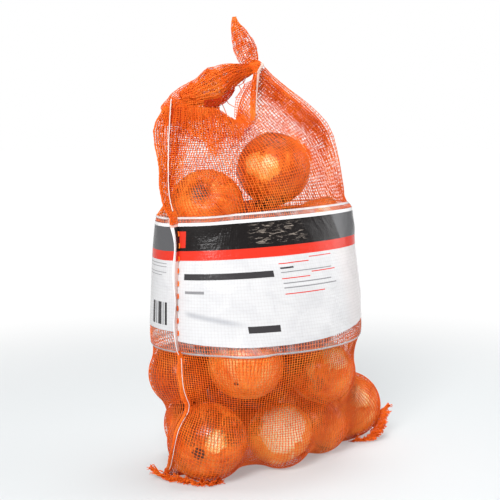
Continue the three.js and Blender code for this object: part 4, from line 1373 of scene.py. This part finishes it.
# Gathers as [name, lower edge, upper edge, pleats, depth, chains, loops] and what differs from plain.
GATHERS = [
    ("shoulder_front", [(-0.012, 0.715), (0.004, 0.715)], [(0.0, 0.998), (0.075, 0.998)], 3, 1.8, 8, 52, {}),
    ("shoulder_inner", [(-0.012, 0.73), (0.0, 0.73)], [(0.0, 0.998), (0.06, 0.998)], 2, 1.2, 7, 46, UNDER),
    ("shoulder_rear", [(0.955, 0.73), (1.0, 0.73)], [(0.93, 0.998), (1.0, 0.998)], 3, 2.0, 9, 50, {}),
    ("swath", SWATH_LOW, SWATH_HIGH, 9, 1.6, 34, 21, {"fray": 0.3}),
    ("swath_middle", SWATH_LOW, SWATH_HIGH, 11, 1.2, 31, 19, {"lift": 1.6, "phase": 1.0, "fray": 0.45}),
    ("swath_under", SWATH_LOW, UNDER_HIGH, 7, 0.9, 30, 19, {**UNDER, "phase": 2.0, "fray": 0.4}),
    ("slope_front", [(0.474, 0.77), (0.496, 0.77)], [(0.40, 0.995), (0.485, 0.995)], 4, 1.6, 9, 50,
     {"fray": 0.3}),
    ("slope_middle", [(0.474, 0.80), (0.496, 0.80)], [(0.41, 0.995), (0.48, 0.995)], 3, 1.2, 8, 46,
     {"phase": 2.0}),
    ("slope_under", [(0.478, 0.80), (0.494, 0.80)], [(0.42, 0.995), (0.48, 0.995)], 2, 0.9, 7, 44,
     {**UNDER, "phase": 1.0}),
    ("slope_rear", [(0.504, 0.74), (0.53, 0.74)], [(0.505, 0.995), (0.55, 0.995)], 3, 1.8, 8, 48, {}),
    ("neck_foot", [(0.285, 0.915), (0.345, 0.915)], [(0.29, 0.985), (0.35, 0.985)], 2, 1.2, 8, 13,
     {"fray": 0.5}),
]
for name, low_edge, high_edge, pleats, depth, chains, loops, others in GATHERS:
    on_skin(name, low_edge, high_edge, pleats, depth, chains, loops, **others)

# %% Open mesh beside the handle's gap
GAP_EDGE = [[-67.9, -5, 480], [-67.6, -5, 488], [-66.4, -5, 500.1], [-62.8, -5, 508.6], [-56.4, -5, 516.9],
            [-50.6, -5, 524.1]]
GAP_ROOT = [[-62, -7, 477], [-60, -7, 490], [-55, -7, 504], [-50, -7, 512], [-46, -7, 519], [-41, -7, 528]]
GAP_THREADS = [[[-54, -6, 529.1], [-64, -6.5, 530.8], [-74, -6, 528.2], [-74.8, -5, 524], [-67, -5, 520.8],
                [-57, -6, 523.7], [-52, -6, 529]],
               [[-62, -6, 522], [-58.4, -6, 513.4], [-62.7, -5, 508.6], [-67, -5, 505]],
               [[-77, -6, 524], [-84, -6, 514], [-81, -5, 506.6], [-78.4, -5, 499.2], [-67.5, -5, 493]],
               [[-60, -6, 537], [-56.3, -6, 529], [-53.4, -6, 521.8], [-55, -6, 517]],
               [[-92, -6, 506], [-88, -5.5, 499], [-84, -5, 492], [-80, -5, 483]]]


def ladder():
    """The stretched mesh between the gap's edge and the net beside it."""
    edge, root = smooth_curve(GAP_EDGE, 24), smooth_curve(GAP_ROOT, 24)
    share = np.linspace(0, 1, 5)[None, :, None]
    return edge[:, None] * (1 - share) + root[:, None] * share


belongs(knit("gap_ladder", ladder(), 3, 15, NET_YARN, chain_radius=0.6, thread_radius=0.5, wander=0.4,
             close_side=True), "net", "net_bag")
loops_in_gap = [smooth_curve(path, 16) for path in GAP_THREADS]
belongs(tubes("gap_threads", loops_in_gap, 0.55, NET_YARN, 4), "net", "handle_roll")

# %% [markdown]
# ## Frayed hems
# The bottom seam ends in a flap of cut net at each lower corner. Its edge is ragged, and loose ends
# of yarn stand out of it.

# %% Hems
# Routes as [x, y, z, the way out along x, y and z, width].
HEM_LEFT = [[-185, 16, 10, -0.8, 0.3, 0.5, 5], [-179, 11, 5, -0.9, 0.1, 0.2, 8],
            [-170, -3, 1.6, -1, -0.1, 0, 9], [-160, -22, 1.4, -0.95, -0.3, 0, 8],
            [-152, -40, 1.4, -0.8, -0.6, 0, 7], [-138, -53, 1.4, -0.4, -0.9, 0, 6],
            [-118, -55, 1.2, 0.1, -1, 0, 4]]
HEM_RIGHT = [[208, 21, 42, 1, -0.1, 0.2, 6], [202, 20, 36, 0.9, -0.3, -0.1, 8],
             [192, 13, 26, 0.8, -0.5, -0.2, 8], [182, 8, 13, 0.7, -0.6, -0.2, 8],
             [169, 6, 3, 0.5, -0.85, 0, 7], [154, 10, 1.4, 0.4, -0.9, 0, 6],
             [140, 14, 1.2, 0.3, -0.95, 0, 4]]


def ragged_sheet(route, root, ruffle, seed, steps=70, columns=7):
    """A flap along a hem's route, from the net at its root to a ragged outer edge."""
    draw = np.random.default_rng(seed)
    route = np.asarray(route, float)
    line = smooth_curve(route[:, :3], steps)
    given, share = np.linspace(0, 1, len(route)), np.linspace(0, 1, steps + 1)
    out = unit(np.stack([np.interp(share, given, route[:, 3 + axis]) for axis in range(3)], 1))
    width = np.interp(share, given, route[:, 6]) * (1 + 0.35 * draw.normal(0, 1, steps + 1))
    width = np.clip(width, 2, 13)
    across = np.linspace(-root, 1, columns)
    sheet = line[:, None] + out[:, None] * across[None, :, None] * width[:, None, None]
    wave = np.sin(share * 34 + draw.uniform(0, 6)) + 0.6 * np.sin(share * 71 + draw.uniform(0, 6))
    sheet[..., 2] += ruffle * np.abs(wave)[:, None] * (across + root)
    sheet[..., 2] = np.maximum(sheet[..., 2], 0.9)
    return sheet


def loose_ends(name, solid, sheet, count, length, seed, material):
    """Loose ends of yarn that stand out of a flap's outer edge."""
    draw = np.random.default_rng(seed)
    rows = draw.integers(1, sheet.shape[0] - 1, count)
    start = sheet[rows, -2] * 0.5 + sheet[rows, -1] * 0.5
    way = unit(unit(sheet[rows, -1] - sheet[rows, -3]) + draw.normal(0, 0.55, (count, 3)))
    way[:, 2] = np.abs(way[:, 2]) * 0.7
    reach = draw.uniform(0.4, 1, (count, 1)) * length
    curl = unit(draw.normal(0, 1, (count, 3)))
    share = np.linspace(0, 1, 6)[None, :, None]
    paths = (start[:, None] + way[:, None] * reach[:, None] * share
             + curl[:, None] * (share ** 2) * reach[:, None] * 0.35)
    paths[..., 2] = np.maximum(paths[..., 2], 0.7)
    return belongs(tubes(name, paths, 0.42, material, 4), "net", solid)


for name, route, root in (("hem_left", HEM_LEFT, 1.2), ("hem_right", HEM_RIGHT, 0.8)):
    for layer, ruffle in enumerate((0.6, 2.2, 3.6)):
        flap = ragged_sheet(route, root, ruffle, layer + 3)
        piece = knit(f"{name}_{layer + 1}", flap, 6, 60, NET_YARN, chain_radius=0.75, thread_radius=0.45,
                     wander=0.4, close_side=True, ground=0.8)
        belongs(piece, "net", name)
    loose_ends(f"{name}_ends", name, flap, 90, 7.0, 6, NET_YARN)

# %% [markdown]
# ## Floor and backdrop
# The floor is pale and glows a little more with distance, as a lit sweep does in a studio, until it
# is as white as the wall behind. Near the net it stays plain, so it shows the net's own shadow.

# %% Stage
FLOOR_GREY, FLOOR_GLOW = (0.44, 0.455, 0.46), (0.29, 0.30, 0.305)
BLACK, WHITE = (0.0, 0.0, 0.0), (1.0, 1.0, 1.0)


def floor_material():
    shader = Shader("floor_white")
    x, y, _ = shader.parts(shader.node("ShaderNodeTexCoord", None, None, 3))
    far = (x * x + y * y).ramp(0.05, 1.3)
    shader.set(Base_Color=shader.mix(far, FLOOR_GREY, BLACK), Roughness=0.7,
               Emission_Color=shader.mix(far, FLOOR_GLOW, WHITE), Emission_Strength=1.0,
               Specular_IOR_Level=0.1)
    return shader.material


def wall_material():
    shader = Shader("backdrop_white")
    shader.set(Base_Color=BLACK, Emission_Color=WHITE, Emission_Strength=1.0, Specular_IOR_Level=0.0)
    return shader.material


def make_stage():
    deselect_all()
    bpy.ops.mesh.primitive_plane_add(size=12, location=(0, 0, 0))
    floor = bpy.context.object
    floor.name = "floor"
    floor.data.materials.append(floor_material())
    deselect_all()
    bpy.ops.mesh.primitive_uv_sphere_add(segments=48, ring_count=24, radius=5.5)
    wall = bpy.context.object
    wall.name = "backdrop"
    wall.data.materials.append(wall_material())
    wall.visible_shadow = False
    wall.visible_diffuse = False
    wall.visible_glossy = False


make_stage()
